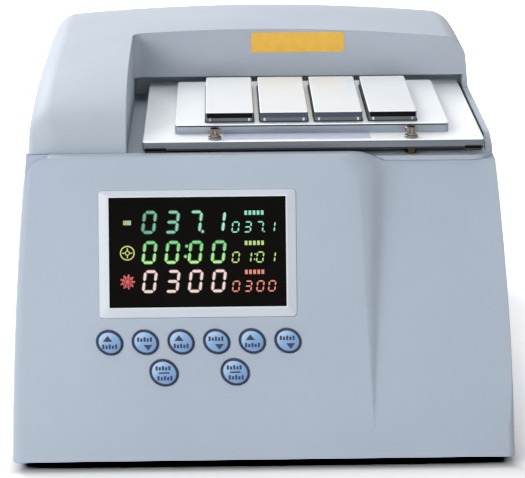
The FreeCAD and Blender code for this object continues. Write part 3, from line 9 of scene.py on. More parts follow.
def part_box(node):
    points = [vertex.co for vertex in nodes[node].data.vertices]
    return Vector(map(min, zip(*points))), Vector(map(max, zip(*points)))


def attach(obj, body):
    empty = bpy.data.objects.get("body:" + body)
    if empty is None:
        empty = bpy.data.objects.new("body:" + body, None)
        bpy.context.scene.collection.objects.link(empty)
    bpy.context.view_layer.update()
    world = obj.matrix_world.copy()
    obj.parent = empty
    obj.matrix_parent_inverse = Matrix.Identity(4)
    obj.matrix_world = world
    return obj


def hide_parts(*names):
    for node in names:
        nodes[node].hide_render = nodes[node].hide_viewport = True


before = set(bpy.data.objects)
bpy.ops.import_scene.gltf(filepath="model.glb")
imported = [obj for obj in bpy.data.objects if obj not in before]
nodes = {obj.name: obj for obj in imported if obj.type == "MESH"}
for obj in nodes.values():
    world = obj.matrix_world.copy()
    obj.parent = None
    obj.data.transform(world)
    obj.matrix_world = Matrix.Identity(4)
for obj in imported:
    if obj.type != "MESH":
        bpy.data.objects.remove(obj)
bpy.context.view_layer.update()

# Looks of a bench instrument that warms and orbits a stage of glass slides. Lengths are in metres,
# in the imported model's frame: origin on the bench below the case, X right, Y back, Z up.

MM = 0.001

# Sizes that the dressing shares with the case
PANEL_TILT = math.radians(18.5)
CASE_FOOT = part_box("lower_housing")[0].z
CASE_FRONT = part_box("lower_housing")[0].y
CASE_HALF_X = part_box("lower_housing")[1].x
CASE_HALF_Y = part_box("lower_housing")[1].y
BAY_BACK_Y = CASE_FRONT + 165.0 * MM
PLATE_LOW, PLATE_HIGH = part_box("stage_plate")
ADAPTER_LOW, ADAPTER_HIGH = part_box("slide_adapter")
DISPLAY_U = (-74.6, 11.5)
DISPLAY_V = (74.8, 128.4)
BEZEL_HEIGHT = 1.3


# Materials

class Shader:
    """A small helper that adds nodes to one material and links them."""

    def __init__(self, name):
        self.material = bpy.data.materials.new(name)
        self.material.use_nodes = True
        self.tree = self.material.node_tree
        self.tree.nodes.clear()
        self.output = self.add("ShaderNodeOutputMaterial")
        self.coords = self.add("ShaderNodeTexCoord")

    def add(self, kind, **settings):
        """A node; settings are its properties, or its inputs when the name is an input's."""
        node = self.tree.nodes.new(kind)
        for key, value in settings.items():
            if hasattr(node, key):
                setattr(node, key, value)
            else:
                node.inputs[key.replace("_", " ")].default_value = value
        return node

    def link(self, source, target):
        self.tree.links.new(source, target)

    def place(self, scale):
        """Object coordinates, scaled."""
        mapping = self.add("ShaderNodeMapping")
        mapping.inputs["Scale"].default_value = scale
        self.link(self.coords.outputs["Object"], mapping.inputs["Vector"])
        return mapping.outputs["Vector"]

    def noise(self, scale, detail=3.0, roughness=0.5, stretch=(1, 1, 1)):
        """A noise value in object coordinates."""
        node = self.add("ShaderNodeTexNoise")
        node.inputs["Scale"].default_value = scale
        node.inputs["Detail"].default_value = detail
        node.inputs["Roughness"].default_value = roughness
        self.link(self.place(stretch), node.inputs["Vector"])
        return node.outputs["Fac"]

    def ramp(self, value, stops):
        """Colours along a value; stops are (position, colour) pairs."""
        node = self.add("ShaderNodeValToRGB")
        while len(node.color_ramp.elements) < len(stops):
            node.color_ramp.elements.new(0.5)
        for element, (position, colour) in zip(node.color_ramp.elements, stops):
            element.position = position
            element.color = (*colour, 1.0)
        self.link(value, node.inputs["Fac"])
        return node.outputs["Color"]

    def spread(self, value, low, high):
        """A value moved from 0..1 to low..high."""
        node = self.add("ShaderNodeMapRange")
        node.inputs["To Min"].default_value = low
        node.inputs["To Max"].default_value = high
        self.link(value, node.inputs["Value"])
        return node.outputs["Result"]

    def bump(self, height, strength, distance, rounding=0.0):
        """A bumped normal, on edges rounded by the given radius."""
        node = self.add("ShaderNodeBump")
        node.inputs["Strength"].default_value = strength
        node.inputs["Distance"].default_value = distance
        self.link(height, node.inputs["Height"])
        if rounding:
            bevel = self.add("ShaderNodeBevel", samples=6)
            bevel.inputs["Radius"].default_value = rounding
            self.link(bevel.outputs["Normal"], node.inputs["Normal"])
        return node.outputs["Normal"]

    def principled(self, colour, roughness, normal=None, **sockets):
        """The surface; colour and roughness are links or plain values."""
        node = self.add("ShaderNodeBsdfPrincipled")
        for name, value in (("Base Color", colour), ("Roughness", roughness)):
            if isinstance(value, bpy.types.NodeSocket):
                self.link(value, node.inputs[name])
            else:
                node.inputs[name].default_value = value
        if normal is not None:
            self.link(normal, node.inputs["Normal"])
        for name, value in sockets.items():
            node.inputs[name.replace("_", " ")].default_value = value
        self.link(node.outputs["BSDF"], self.output.inputs["Surface"])
        return self.material


def tone(colour, factor):
    """A colour made lighter or darker."""
    return tuple(min(1.0, channel * factor) for channel in colour)


def moulded_plastic(name, colour, roughness=0.42, grain=0.05, rounding=0.8 * MM, variation=0.03, gloss=0.45):
    """Fine moulded plastic: slight cloudiness with fine flecks, spark-eroded grain and softened edges."""
    shader = Shader(name)
    cloud = shader.noise(14.0, 9.0, 0.66)
    tint = shader.ramp(cloud, [(0.3, tone(colour, 1 - variation)), (0.7, tone(colour, 1 + variation))])
    rough = shader.spread(shader.noise(55.0, 3.0), roughness - 0.05, roughness + 0.06)
    normal = shader.bump(shader.noise(2600.0, 2.0), grain, 0.05 * MM, rounding)
    return shader.principled(tint, rough, normal, Specular_IOR_Level=gloss)


def key_plastic(name, low, middle, high):
    """Glossy key with a painted highlight: paler towards its upper left, in each key's own box."""
    shader = Shader(name)
    split = shader.add("ShaderNodeSeparateXYZ")
    shader.link(shader.coords.outputs["Generated"], split.inputs["Vector"])
    highlight_lean = shader.add("ShaderNodeMath", operation="SUBTRACT")
    shader.link(split.outputs["Z"], highlight_lean.inputs[0])
    shader.link(split.outputs["X"], highlight_lean.inputs[1])
    share = shader.add("ShaderNodeMapRange")
    share.inputs["From Min"].default_value = -0.8
    share.inputs["From Max"].default_value = 0.8
    shader.link(highlight_lean.outputs["Value"], share.inputs["Value"])
    # Painted highlight: the colour runs from deep blue to pale towards the key's upper left
    tint = shader.ramp(share.outputs["Result"], [(0.25, low), (0.6, middle), (0.9, high)])
    rough = shader.spread(shader.noise(70.0, 3.0), 0.26, 0.36)
    normal = shader.bump(shader.noise(1800.0, 2.0), 0.02, 0.05 * MM, 0.4 * MM)
    return shader.principled(tint, rough, normal, Specular_IOR_Level=0.4)


def machined_metal(name, colour, roughness, stretch, side=None, streak=0.09, metallic=1.0, rounding=0.3 * MM):
    """Metal with fine parallel tool marks; stretch sets their direction, side the darker colour painted on upright
    faces as their shade and dark reflection.
    """
    side = side or tone(colour, 0.8)
    shader = Shader(name)
    lines = shader.noise(900.0, 2.0, 0.6, stretch)
    smudges = shader.noise(24.0, 4.0)
    face = shader.ramp(smudges, [(0.3, tone(colour, 0.965)), (0.75, tone(colour, 1.02))])
    # Painted shade and reflection: upright faces take the darker side colour, with streaks running up them
    facing = shader.add("ShaderNodeSeparateXYZ")
    shader.link(shader.coords.outputs["Normal"], facing.inputs["Vector"])
    level = shader.add("ShaderNodeMath", operation="ABSOLUTE")
    shader.link(facing.outputs["Z"], level.inputs[0])
    depth = shader.add("ShaderNodeMapRange")
    depth.inputs["From Min"].default_value = 0.15
    depth.inputs["From Max"].default_value = 0.6
    shader.link(level.outputs["Value"], depth.inputs["Value"])
    painted_flank_shade = shader.ramp(shader.noise(60.0, 3.0, 0.5, (0.3, 0.3, 8.0)),
                        [(0.3, tone(side, 0.8)), (0.7, tone(side, 1.15))])
    mixed = shader.add("ShaderNodeMix", data_type="RGBA")
    shader.link(depth.outputs["Result"], mixed.inputs[0])
    shader.link(painted_flank_shade, mixed.inputs[6])
    shader.link(face, mixed.inputs[7])
    rough = shader.spread(lines, roughness - streak, roughness + streak)
    normal = shader.bump(lines, 0.12, 0.02 * MM, rounding)
    return shader.principled(mixed.outputs[2], rough, normal, Metallic=metallic)


def turned_metal(name, colour, roughness, rounding=0.12 * MM):
    """Plated or turned metal with fine speckle."""
    shader = Shader(name)
    speckle = shader.noise(1500.0, 3.0)
    stain = shader.noise(120.0, 3.0)
    tint = shader.ramp(stain, [(0.35, tone(colour, 0.93)), (0.7, tone(colour, 1.03))])
    rough = shader.spread(speckle, roughness - 0.06, roughness + 0.08)
    return shader.principled(tint, rough, shader.bump(speckle, 0.08, 0.02 * MM, rounding), Metallic=1.0)


def black_rubber(name, colour=(0.022, 0.022, 0.024)):
    """Matte rubber with a dusty grain."""
    shader = Shader(name)
    grain = shader.noise(900.0, 4.0)
    tint = shader.ramp(grain, [(0.35, tone(colour, 0.8)), (0.75, tone(colour, 1.5))])
    return shader.principled(tint, 0.78, shader.bump(grain, 0.25, 0.08 * MM, 0.3 * MM))


def smoked_window(name):
    """Near-black glossy window with a faint haze."""
    shader = Shader(name)
    haze = shader.noise(40.0, 3.0)
    tint = shader.ramp(haze, [(0.3, (0.0025, 0.002, 0.0015)), (0.8, (0.0045, 0.0035, 0.003))])
    rough = shader.spread(shader.noise(300.0, 2.0), 0.22, 0.30)
    return shader.principled(tint, rough, Specular_IOR_Level=0.02)


def circuit_board(name):
    """Green board with fine copper tracks under the mask."""
    shader = Shader(name)
    tracks = shader.add("ShaderNodeTexBrick", offset=0.5)
    tracks.inputs["Scale"].default_value = 160.0
    tracks.inputs["Mortar Size"].default_value = 0.06
    tracks.inputs["Color1"].default_value = (0.012, 0.10, 0.045, 1)
    tracks.inputs["Color2"].default_value = (0.016, 0.12, 0.055, 1)
    tracks.inputs["Mortar"].default_value = (0.05, 0.20, 0.09, 1)
    shader.link(shader.place((1, 1, 1)), tracks.inputs["Vector"])
    return shader.principled(tracks.outputs["Color"], 0.35, shader.bump(tracks.outputs["Fac"], 0.3, 0.05 * MM))


def lit_ink(name, low, high, along, span, strength=1.0):
    """A glowing display mark whose colour runs along u or up the slope, between two places."""
    shader = Shader(name)
    split = shader.add("ShaderNodeSeparateXYZ")
    shader.link(shader.coords.outputs["Object"], split.inputs["Vector"])
    share = shader.add("ShaderNodeMapRange")
    ends = [on_panel(place, 0, 0).x if along == "X" else on_panel(0, place, 0).z for place in span]
    share.inputs["From Min"].default_value = ends[0]
    share.inputs["From Max"].default_value = ends[1]
    shader.link(split.outputs[along], share.inputs["Value"])
    colour = shader.ramp(share.outputs["Result"], [(0.0, low), (1.0, high)])
    node = shader.add("ShaderNodeBsdfPrincipled")
    node.inputs["Base Color"].default_value = (0.01, 0.01, 0.01, 1)
    node.inputs["Roughness"].default_value = 0.4
    node.inputs["Emission Strength"].default_value = strength
    shader.link(colour, node.inputs["Emission Color"])
    shader.link(node.outputs["BSDF"], shader.output.inputs["Surface"])
    return shader.material


def printed_ink(name, colour, roughness=0.5, gloss=0.5):
    """Screen-printed ink with a slightly uneven film."""
    shader = Shader(name)
    film = shader.noise(260.0, 3.0)
    tint = shader.ramp(film, [(0.3, tone(colour, 0.95)), (0.75, tone(colour, 1.05))])
    return shader.principled(tint, roughness, shader.bump(film, 0.1, 0.02 * MM), Specular_IOR_Level=gloss)


# Placing

def on_panel(u, v, w):
    """The point at u to the right, v up the slope and w out of the control panel, in millimetres."""
    up = Vector((0, math.sin(PANEL_TILT), math.cos(PANEL_TILT)))
    out = Vector((0, -math.cos(PANEL_TILT), math.sin(PANEL_TILT)))
    foot = Vector((0, CASE_FRONT, CASE_FOOT))
    return foot + (Vector((u, 0, 0)) + up * v + out * w) * MM


def on_wall(x, z, y):
    """The point on the hood's inner back wall at x, z, and y in front of it, in millimetres."""
    return Vector((x * MM, BAY_BACK_Y - y * MM, CASE_FOOT + z * MM))


def on_plate(x, y, z):
    """The point over the stage plate at x, y (from the case's front) and z above the plate."""
    return Vector((x * MM, CASE_FRONT + y * MM, PLATE_HIGH.z + z * MM))


def on_face(x, z, y, front):
    """The point at x and z, and y in front of an upright face, in metres."""
    return Vector((x, front - y, z))


def mesh_piece(name, mesh, material, body):
    """An object from a mesh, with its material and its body."""
    piece = bpy.data.objects.new(name, mesh)
    bpy.context.scene.collection.objects.link(piece)
    piece.data.materials.append(material)
    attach(piece, body)
    return piece


def plates(name, outlines, levels, place, material, body, edge=0.0):
    """Thin plates from flat outlines between two levels, placed by a function, with broken edges."""
    bm = bmesh.new()
    for outline in outlines:
        low = [bm.verts.new((a, b, levels[0])) for a, b in outline]
        high = [bm.verts.new((a, b, levels[1])) for a, b in outline]
        count = len(outline)
        bm.faces.new(high)
        bm.faces.new(list(reversed(low)))
        for index in range(count):
            following = (index + 1) % count
            bm.faces.new((low[index], low[following], high[following], high[index]))
    if edge:
        rims = [e for e in bm.edges if all(abs(v.co.z - levels[1]) < 1e-9 for v in e.verts)]
        bmesh.ops.bevel(bm, geom=rims, offset=edge, segments=2, affect="EDGES")
    for vertex in bm.verts:
        vertex.co = place(*vertex.co)
    bmesh.ops.recalc_face_normals(bm, faces=bm.faces)
    mesh = bpy.data.meshes.new(name)
    bm.to_mesh(mesh)
    bm.free()
    return mesh_piece(name, mesh, material, body)


def rectangle(low, high, radius=0.0, steps=5):
    """Outline of a rectangle, with round corners if a radius is given."""
    if not radius:
        return [(low[0], low[1]), (high[0], low[1]), (high[0], high[1]), (low[0], high[1])]
    points = []
    corners = ((high[0] - radius, low[1] + radius, -90), (high[0] - radius, high[1] - radius, 0),
               (low[0] + radius, high[1] - radius, 90), (low[0] + radius, low[1] + radius, 180))
    for centre_a, centre_b, start in corners:
        for step in range(steps + 1):
            angle = math.radians(start + 90 * step / steps)
            points.append((centre_a + radius * math.cos(angle), centre_b + radius * math.sin(angle)))
    return points


def frame_strips(low, high, width):
    """Four strips round an opening, as outlines that meet at mitred corners."""
    inner = rectangle(low, high)
    outer = rectangle((low[0] - width, low[1] - width), (high[0] + width, high[1] + width))
    return [[inner[i], outer[i], outer[(i + 1) % 4], inner[(i + 1) % 4]] for i in range(4)]


def disc(a, b, radius, steps=28):
    """Outline of a circle."""
    return [(a + radius * math.cos(2 * math.pi * step / steps), b + radius * math.sin(2 * math.pi * step / steps))
            for step in range(steps)]


def soften(names, limit_degrees):
    """Shades CAD nodes smooth across edges that turn by less than the limit."""
    least = math.cos(math.radians(limit_degrees))
    for name in names:
        mesh = nodes[name].data
        corners = {}
        for polygon in mesh.polygons:
            polygon.use_smooth = True
            for vertex in polygon.vertices:
                key = tuple(round(c * 1e6) for c in mesh.vertices[vertex].co)
                corners.setdefault(key, []).append(polygon.index)
        normal = np.array([p.normal for p in mesh.polygons])
        weighted = normal * np.array([p.area for p in mesh.polygons])[:, None]
        custom = []
        for polygon in mesh.polygons:
            for vertex in polygon.vertices:
                key = tuple(round(c * 1e6) for c in mesh.vertices[vertex].co)
                around = np.array(corners[key])
                near = around[normal[around] @ normal[polygon.index] > least]
                total = weighted[near].sum(0)
                length = np.linalg.norm(total)
                custom.append(total / length if length > 0 else normal[polygon.index])
        mesh.normals_split_custom_set(custom)


def dress(names, material):
    """Gives CAD nodes their finish."""
    for name in names:
        slots = nodes[name].data.materials
        slots.clear()
        slots.append(material)


# Finishes of the CAD nodes

HOUSING_COLOUR = (0.46, 0.525, 0.615)
# The hood has the case's paint made more neutral: a painted sheen of the top light on the hood
HOOD_SHEEN_COLOUR = (0.465, 0.518, 0.588)
BEZEL_COLOUR = (0.66, 0.71, 0.78)
# Deep, middle and pale key blues; the pale end is a painted highlight on each key's upper left
KEY_HIGHLIGHT_SHADES = ((0.14, 0.29, 0.55), (0.22, 0.41, 0.68), (0.50, 0.68, 0.90))
ALUMINIUM_COLOUR = (0.88, 0.905, 0.93)
# Darker colour painted on the aluminium parts' upright faces as their shade and dark reflection
ALUMINIUM_SIDE_SHADE = (0.13, 0.15, 0.175)
STEEL_COLOUR = (0.60, 0.61, 0.63)
ALONG_X = (0.02, 1.0, 1.0)
ALONG_Y = (1.0, 0.02, 1.0)
COVERS = (1, 2, 3, 4)
KEY_NAMES = ("temp_up", "temp_down", "time_up", "time_down", "speed_up", "speed_down", "program", "start")


def dress_nodes():
    """Every CAD node's material."""
    dress(["lower_housing"], moulded_plastic("case_paint", HOUSING_COLOUR, 0.56, 0.06, 0.8 * MM, 0.035, 0.35))
    dress(["upper_hood"], moulded_plastic("hood_paint_with_sheen", HOOD_SHEEN_COLOUR, 0.56, 0.06, 0.8 * MM, 0.045, 0.35))
    dress(["display_bezel"], moulded_plastic("bezel_plastic", BEZEL_COLOUR, 0.35, 0.03, 0.4 * MM))
    dress(["display_window"], smoked_window("window_plastic"))
    dress(["key_" + name for name in KEY_NAMES], key_plastic("key_plastic", *KEY_HIGHLIGHT_SHADES))
    dress(["stage_plate"],
          machined_metal("plate_metal", tone(ALUMINIUM_COLOUR, 1.05), 0.46, ALONG_X, ALUMINIUM_SIDE_SHADE, 0.08, 0.35))
    dress(["slide_adapter"],
          machined_metal("adapter_metal", ALUMINIUM_COLOUR, 0.44, ALONG_X, tone(ALUMINIUM_SIDE_SHADE, 2.0), 0.06, 0.45))
    dress(["slide_cover_%d" % number for number in COVERS],
          machined_metal("cover_metal", (0.73, 0.755, 0.78), 0.48, ALONG_Y, tone(ALUMINIUM_SIDE_SHADE, 0.8), 0.05, 0.5))
    dress(["clamp_screws", "adapter_pins"], turned_metal("dark_chrome", (0.30, 0.29, 0.28), 0.20))
    dress(["counterweight"], turned_metal("brass", (0.70, 0.50, 0.22), 0.30))
    dress(["clamp_nuts"], turned_metal("dark_brass", (0.035, 0.026, 0.014), 0.35))
    dress(["chassis_plate", "stage_carrier", "carrier_standoffs", "chassis_posts"],
          machined_metal("mill_metal", (0.72, 0.73, 0.75), 0.38, ALONG_X))
    dress(["motor_shaft", "eccentric_shaft", "idler_crank_1", "idler_crank_2", "idler_crank_3",
           "drive_bearing", "idler_pin_bearings", "idler_seat_bearings", "temperature_probe"],
          turned_metal("ground_steel", STEEL_COLOUR, 0.22))
    dress(["case_screws", "hood_screws", "panel_screws", "motor_screws", "rear_screws", "inlet_pins"],
          turned_metal("plated_steel", (0.66, 0.66, 0.68), 0.28))
    dress(["fan_guard"], turned_metal("guard_wire", (0.62, 0.63, 0.65), 0.25))
    dress(["base_plate"], machined_metal("zinc_sheet", (0.55, 0.57, 0.60), 0.42, ALONG_Y))
    dress(["rear_panel"], moulded_plastic("rear_paint", (0.20, 0.22, 0.26), 0.45, 0.25, 0.3 * MM))
    dress(["power_inlet", "fuse_drawer", "switch_frame", "fan_frame", "fan_rotor", "key_switches"],
          moulded_plastic("black_plastic", (0.018, 0.018, 0.020), 0.38, 0.08, 0.3 * MM))
    dress(["switch_rocker"], moulded_plastic("rocker_plastic", (0.020, 0.020, 0.022), 0.22, 0.02, 0.4 * MM))
    dress(["motor_body"], moulded_plastic("motor_paint", (0.03, 0.03, 0.034), 0.35, 0.12, 0.4 * MM))
    dress(["feet"], black_rubber("foot_rubber"))
    dress(["insulation_pad"], black_rubber("pad_foam", (0.03, 0.03, 0.032)))
    dress(["heater_mat"], black_rubber("mat_silicone", (0.16, 0.05, 0.015)))
    dress(["display_module", "keypad_board", "power_supply", "control_board"], circuit_board("board_mask"))
    dress(["board_posts"], moulded_plastic("nylon", (0.70, 0.70, 0.67), 0.45))


# Display

SEGMENTS = {"0": "abcdef", "1": "bc", "3": "abcdg", "7": "abc"}
SLANT = 0.13
SEGMENT_GAP = 0.25
MARK_LEVELS = (0.0, 0.08)
HALO_LEVELS = (-0.02, 0.03)


def segment(start, end, width):
    """One bar of a digit: a long hexagon between two points, a little short of both."""
    direction = Vector(end) - Vector(start)
    length = direction.length
    direction.normalize()
    side = Vector((-direction.y, direction.x))
    near = Vector(start) + direction * SEGMENT_GAP
    far = Vector(start) + direction * (length - SEGMENT_GAP)
    half = width / 2
    points = [near, near + direction * half - side * half, far - direction * half - side * half, far,
              far - direction * half + side * half, near + direction * half + side * half]
    return [(p.x, p.y) for p in points]


def digit(character, u, v, size, stroke):
    """Outlines of a seven-bar digit whose lower left corner is at u, v, with bars of the given stroke."""
    width, height, full_stroke = size
    inset = full_stroke / 2

    def corner(right, level):
        y = inset + (height - 2 * inset) * level
        return (u + inset + (width - 2 * inset) * right + SLANT * y, v + y)

    bars = {"a": ((0, 1), (1, 1)), "b": ((1, 0.5), (1, 1)), "c": ((1, 0), (1, 0.5)), "d": ((0, 0), (1, 0)),
            "e": ((0, 0), (0, 0.5)), "f": ((0, 0.5), (0, 1)), "g": ((0, 0.5), (1, 0.5))}
    return [segment(corner(*bars[bar][0]), corner(*bars[bar][1]), stroke) for bar in SEGMENTS[character]]


# Each row: foot of its digits up the slope, big and small digits, how the colour runs, its two
# ends, the glow round the digits, and the small digits' colour
ROWS = (
    ("temperature", 110.8, "037.1", "037.1", "X", (0.05, 0.36, 0.17), (0.30, 0.80, 0.52), (0.003, 0.030, 0.012),
     (0.20, 0.72, 0.45)),
    ("time", 96.1, "00:00", "01:01", "Z", (0.38, 0.86, 0.20), (0.10, 0.62, 0.16), (0.006, 0.075, 0.010),
     (0.40, 0.66, 0.16)),
    ("speed", 82.0, "0300", "0300", "Z", (0.82, 0.64, 0.56), (0.84, 0.60, 0.60), (0.050, 0.016, 0.012),
     (0.76, 0.20, 0.14)),
)
BIG_U = (-58.9, -47.8, -36.6, -25.3)
SMALL_U = (-15.2, -9.3, -3.4, 2.3)
BIG_SIZE = (6.5, 10.9, 1.2)
SMALL_SIZE = (3.7, 5.5, 0.68)
BIG_SPAN = (BIG_U[0], BIG_U[3] + BIG_SIZE[0])
HALO = 0.8
BAR_FIRST_U = -8.6
BAR_STEP = 2.0
BAR_COUNT = 5
BAR_LIFT = 8.6


def readout(characters, places, foot, size, stroke):
    """Outlines of a row of digits, points and colons."""
    width, height = size[:2]
    outlines = []
    place = 0
    for character in characters:
        if character == ".":
            outlines.append(disc(places[place - 1] + width + 0.9 * size[2], foot + 0.6 * size[2], 0.5 * stroke, 12))
        elif character == ":":
            for level in (0.31, 0.77):
                beside = places[place] - 1.1 * size[2] + SLANT * height * level
                outlines.append(disc(beside, foot + height * level, 0.5 * stroke, 12))
        else:
            outlines.extend(digit(character, places[place], foot, size, stroke))
            place += 1
    return outlines


def display_marks():
    """Digits with a faint glow, and plain bars, in the display's three rows."""
    for name, foot, big, small, along, low, high, halo, dim in ROWS:
        span = BIG_SPAN if along == "X" else (foot, foot + BIG_SIZE[1])
        ink = lit_ink(name + "_glow", low, high, along, span)
        plates("display_" + name, readout(big, BIG_U, foot, BIG_SIZE, BIG_SIZE[2]), MARK_LEVELS, on_panel, ink,
               "base")
        around = lit_ink(name + "_halo", halo, halo, along, span)
        plates("display_%s_halo" % name, readout(big, BIG_U, foot, BIG_SIZE, BIG_SIZE[2] + HALO), HALO_LEVELS,
               on_panel, around, "base")
        faint = lit_ink(name + "_small_glow", dim, dim, "Z", (foot, foot + SMALL_SIZE[1]))
        bars = [rectangle((BAR_FIRST_U + BAR_STEP * step, foot + BAR_LIFT),
                          (BAR_FIRST_U + BAR_STEP * step + 1.3, foot + BAR_LIFT + 2.1)) for step in range(BAR_COUNT)]
        plates("display_%s_small" % name, readout(small, SMALL_U, foot, SMALL_SIZE, SMALL_SIZE[2]) + bars,
               MARK_LEVELS, on_panel, faint, "base")


def ring(a, b, radius, width, steps=40):
    """A circle line as short quads."""
    outlines = []
    for step in range(steps):
        turn = [2 * math.pi * (step + share) / steps for share in (0, 1)]
        inner, outer = radius - width / 2, radius + width / 2
        outlines.append([(a + outer * math.cos(turn[0]), b + outer * math.sin(turn[0])),
                         (a + outer * math.cos(turn[1]), b + outer * math.sin(turn[1])),
                         (a + inner * math.cos(turn[1]), b + inner * math.sin(turn[1])),
                         (a + inner * math.cos(turn[0]), b + inner * math.sin(turn[0]))])
    return outlines


def spokes(a, b, inner, outer, width, count, start=0.0):
    """Straight bars round a centre."""
    outlines = []
    for index in range(count):
        angle = start + 2 * math.pi * index / count
        along = Vector((math.cos(angle), math.sin(angle)))
        side = Vector((-along.y, along.x)) * width / 2
        centre = Vector((a, b))
        corners = [centre + along * inner - side, centre + along * outer - side,
                   centre + along * outer + side, centre + along * inner + side]
        outlines.append([(c.x, c.y) for c in corners])
    return outlines


def display_signs():
    """The three signs on the left: a dash, a dial and a rotor."""
    u = -65.7
    dash = lit_ink("dash_glow", (0.40, 0.34, 0.10), (0.30, 0.52, 0.30), "X", (u - 1.9, u + 1.9))
    plates("display_dash", [rectangle((u - 1.9, 115.0), (u + 1.9, 117.2))], MARK_LEVELS, on_panel, dash, "base")
    dial = lit_ink("dial_glow", (0.55, 0.58, 0.10), (0.62, 0.66, 0.16), "Z", (98, 105))
    outlines = ring(u, 101.4, 3.3, 0.55) + spokes(u, 101.4, 0.9, 2.4, 0.5, 4) + ring(u, 101.4, 1.0, 0.4, 16)
    plates("display_dial", outlines, MARK_LEVELS, on_panel, dial, "base")
    rotor = lit_ink("rotor_glow", (0.55, 0.03, 0.035), (0.66, 0.09, 0.08), "Z", (84, 91))
    outlines = spokes(u, 87.4, 1.2, 3.6, 0.75, 9) + [disc(u, 87.4, 1.0, 12)] + ring(u, 87.4, 2.5, 0.35)
    plates("display_rotor", outlines, MARK_LEVELS, on_panel, rotor, "base")


# Keys

KEY_PITCH = 17.32
KEY_FIRST_U = -74.7
KEY_UPPER_V = 58.0
KEY_LOWER = ((-48.5, 43.1), (-13.9, 43.1))
KEY_LOWER_SCALE = 1.08
KEY_TOP = 1.2
KEY_HALF = (6.5, 5.7)
KEY_CHAMFER = 0.6
KEY_TURN = math.radians(150.0)


def key_spots():
    """Name, place and scale of each key."""
    spots = [(KEY_NAMES[index], KEY_FIRST_U + index * KEY_PITCH, KEY_UPPER_V, 1.0) for index in range(6)]
    lower = [(KEY_NAMES[6 + index], u, v, KEY_LOWER_SCALE) for index, (u, v) in enumerate(KEY_LOWER)]
    return spots + lower


def mark_bar(left, foot, count, height):
    """A row of small upright blocks, every other one lower."""
    return [rectangle((left + 1.55 * step, foot), (left + 1.55 * step + 1.05, foot + height - 0.5 * (step % 2)))
            for step in range(count)]


def key_prints():
    """Arrow and plain bars printed on each key."""
    ink = printed_ink("key_ink", (0.006, 0.011, 0.045))
    levels = (KEY_TOP - 0.02, KEY_TOP + 0.03)
    for index, (name, u, v, scale) in enumerate(key_spots()):
        if index < 6 and index % 2 == 0:
            arrow = [(u - 3.3, v + 0.5), (u + 1.3, v + 0.5), (u - 1.0, v + 3.4)]
            bars = mark_bar(u - 3.6, v - 3.0, 5, 2.2)
        elif index < 6:
            arrow = [(u + 3.5, v - 1.2), (u - 0.9, v - 1.2), (u + 1.3, v - 4.0)]
            bars = mark_bar(u - 4.0, v + 0.3, 5, 2.2)
        else:
            arrow = rectangle((u - 2.6, v - 0.45), (u + 2.6, v + 0.3))
            bars = mark_bar(u - 4.1, v + 1.2, 5, 2.1) + mark_bar(u - 3.2, v - 3.7, 5, 2.2)
        plates("print_" + name, [arrow] + bars, levels, on_panel, ink, name + "_key")


def key_rings():
    """A dark navy line over each key's broken edge."""
    ink = printed_ink("ring_navy", (0.010, 0.018, 0.060))
    lift = 0.035
    for name, u, v, scale in key_spots():
        major, minor = (half * scale for half in KEY_HALF)
        bm = bmesh.new()
        loops = []
        for inset, w in ((1.0, KEY_TOP - 0.05), (1.0, KEY_TOP + lift), (KEY_CHAMFER, KEY_TOP + lift),
                         (-lift, KEY_TOP - KEY_CHAMFER + lift), (-lift, KEY_TOP - 0.9), (0.3, KEY_TOP - 0.9)):
            loop = []
            for step in range(56):
                angle = 2 * math.pi * step / 56
                a, b = (major - inset) * math.cos(angle), (minor - inset) * math.sin(angle)
                point = (u + a * math.cos(KEY_TURN) - b * math.sin(KEY_TURN),
                         v + a * math.sin(KEY_TURN) + b * math.cos(KEY_TURN))
                loop.append(bm.verts.new(on_panel(*point, w)))
            loops.append(loop)
        for first, second in zip(loops, loops[1:] + loops[:1]):
            for step in range(56):
                following = (step + 1) % 56
                bm.faces.new((first[step], first[following], second[following], second[step]))
        bmesh.ops.recalc_face_normals(bm, faces=bm.faces)
        mesh = bpy.data.meshes.new("ring_" + name)
        bm.to_mesh(mesh)
        bm.free()
        mesh_piece("ring_" + name, mesh, ink, name + "_key")


def window_trim():
    """The thin lip round the display's opening, pale as a painted highlight on the bezel's inner edge."""
    # Painted highlight: the lip is paler than the bezel to stand for the light on its inner edge
    pale = moulded_plastic("trim_highlight_plastic", (0.80, 0.83, 0.87), 0.30, 0.02, 0.0)
    outlines = frame_strips((DISPLAY_U[0], DISPLAY_V[0]), (DISPLAY_U[1], DISPLAY_V[1]), 0.55)
    plates("window_trim", outlines, (BEZEL_HEIGHT - 0.05, BEZEL_HEIGHT + 0.08), on_panel, pale, "base")


# Plain strips

def strips():
    """The bare amber strip on the inner back wall and the bare pale strip on the stage."""
    amber = printed_ink("amber_film", (0.94, 0.53, 0.055), 0.35)
    plates("amber_strip", [rectangle((-2.8, 164.2), (47.0, 175.0), 1.2)], (0.0, 0.25), on_wall, amber,
           "base", 0.06)
    pale = printed_ink("pale_film", (0.58, 0.60, 0.74), 0.3)
    plates("pale_strip", [rectangle((-18.6, 57.0), (54.0, 67.4), 0.8)], (0.0, 0.2), on_plate, pale,
           "stage", 0.05)


# Stage details

FLANGE_RADIUS = 3.3 * MM
FLUTES = 10
TURN_STEPS = 80
# Profile of a clamp screw: radius and height over the plate, and whether it is fluted
SCREW_PROFILE = (
    (0.0, -7.3, False), (2.0, -7.3, False), (2.0, 0.0, False), (3.3, 0.0, False), (3.3, 0.9, False),
    (3.0, 1.25, False), (2.2, 1.35, False), (2.2, 2.35, False), (2.9, 2.55, True), (3.2, 2.8, True),
    (3.2, 4.9, True), (2.8, 5.3, True), (1.8, 5.3, False), (1.8, 3.8, False), (0.0, 3.8, False),
)


def clamp_spots():
    """The four screws' places, from the box of the solids."""
    low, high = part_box("clamp_screws")
    return [(x, y) for x in (low.x + FLANGE_RADIUS, high.x - FLANGE_RADIUS)
            for y in (low.y + FLANGE_RADIUS, high.y - FLANGE_RADIUS)]


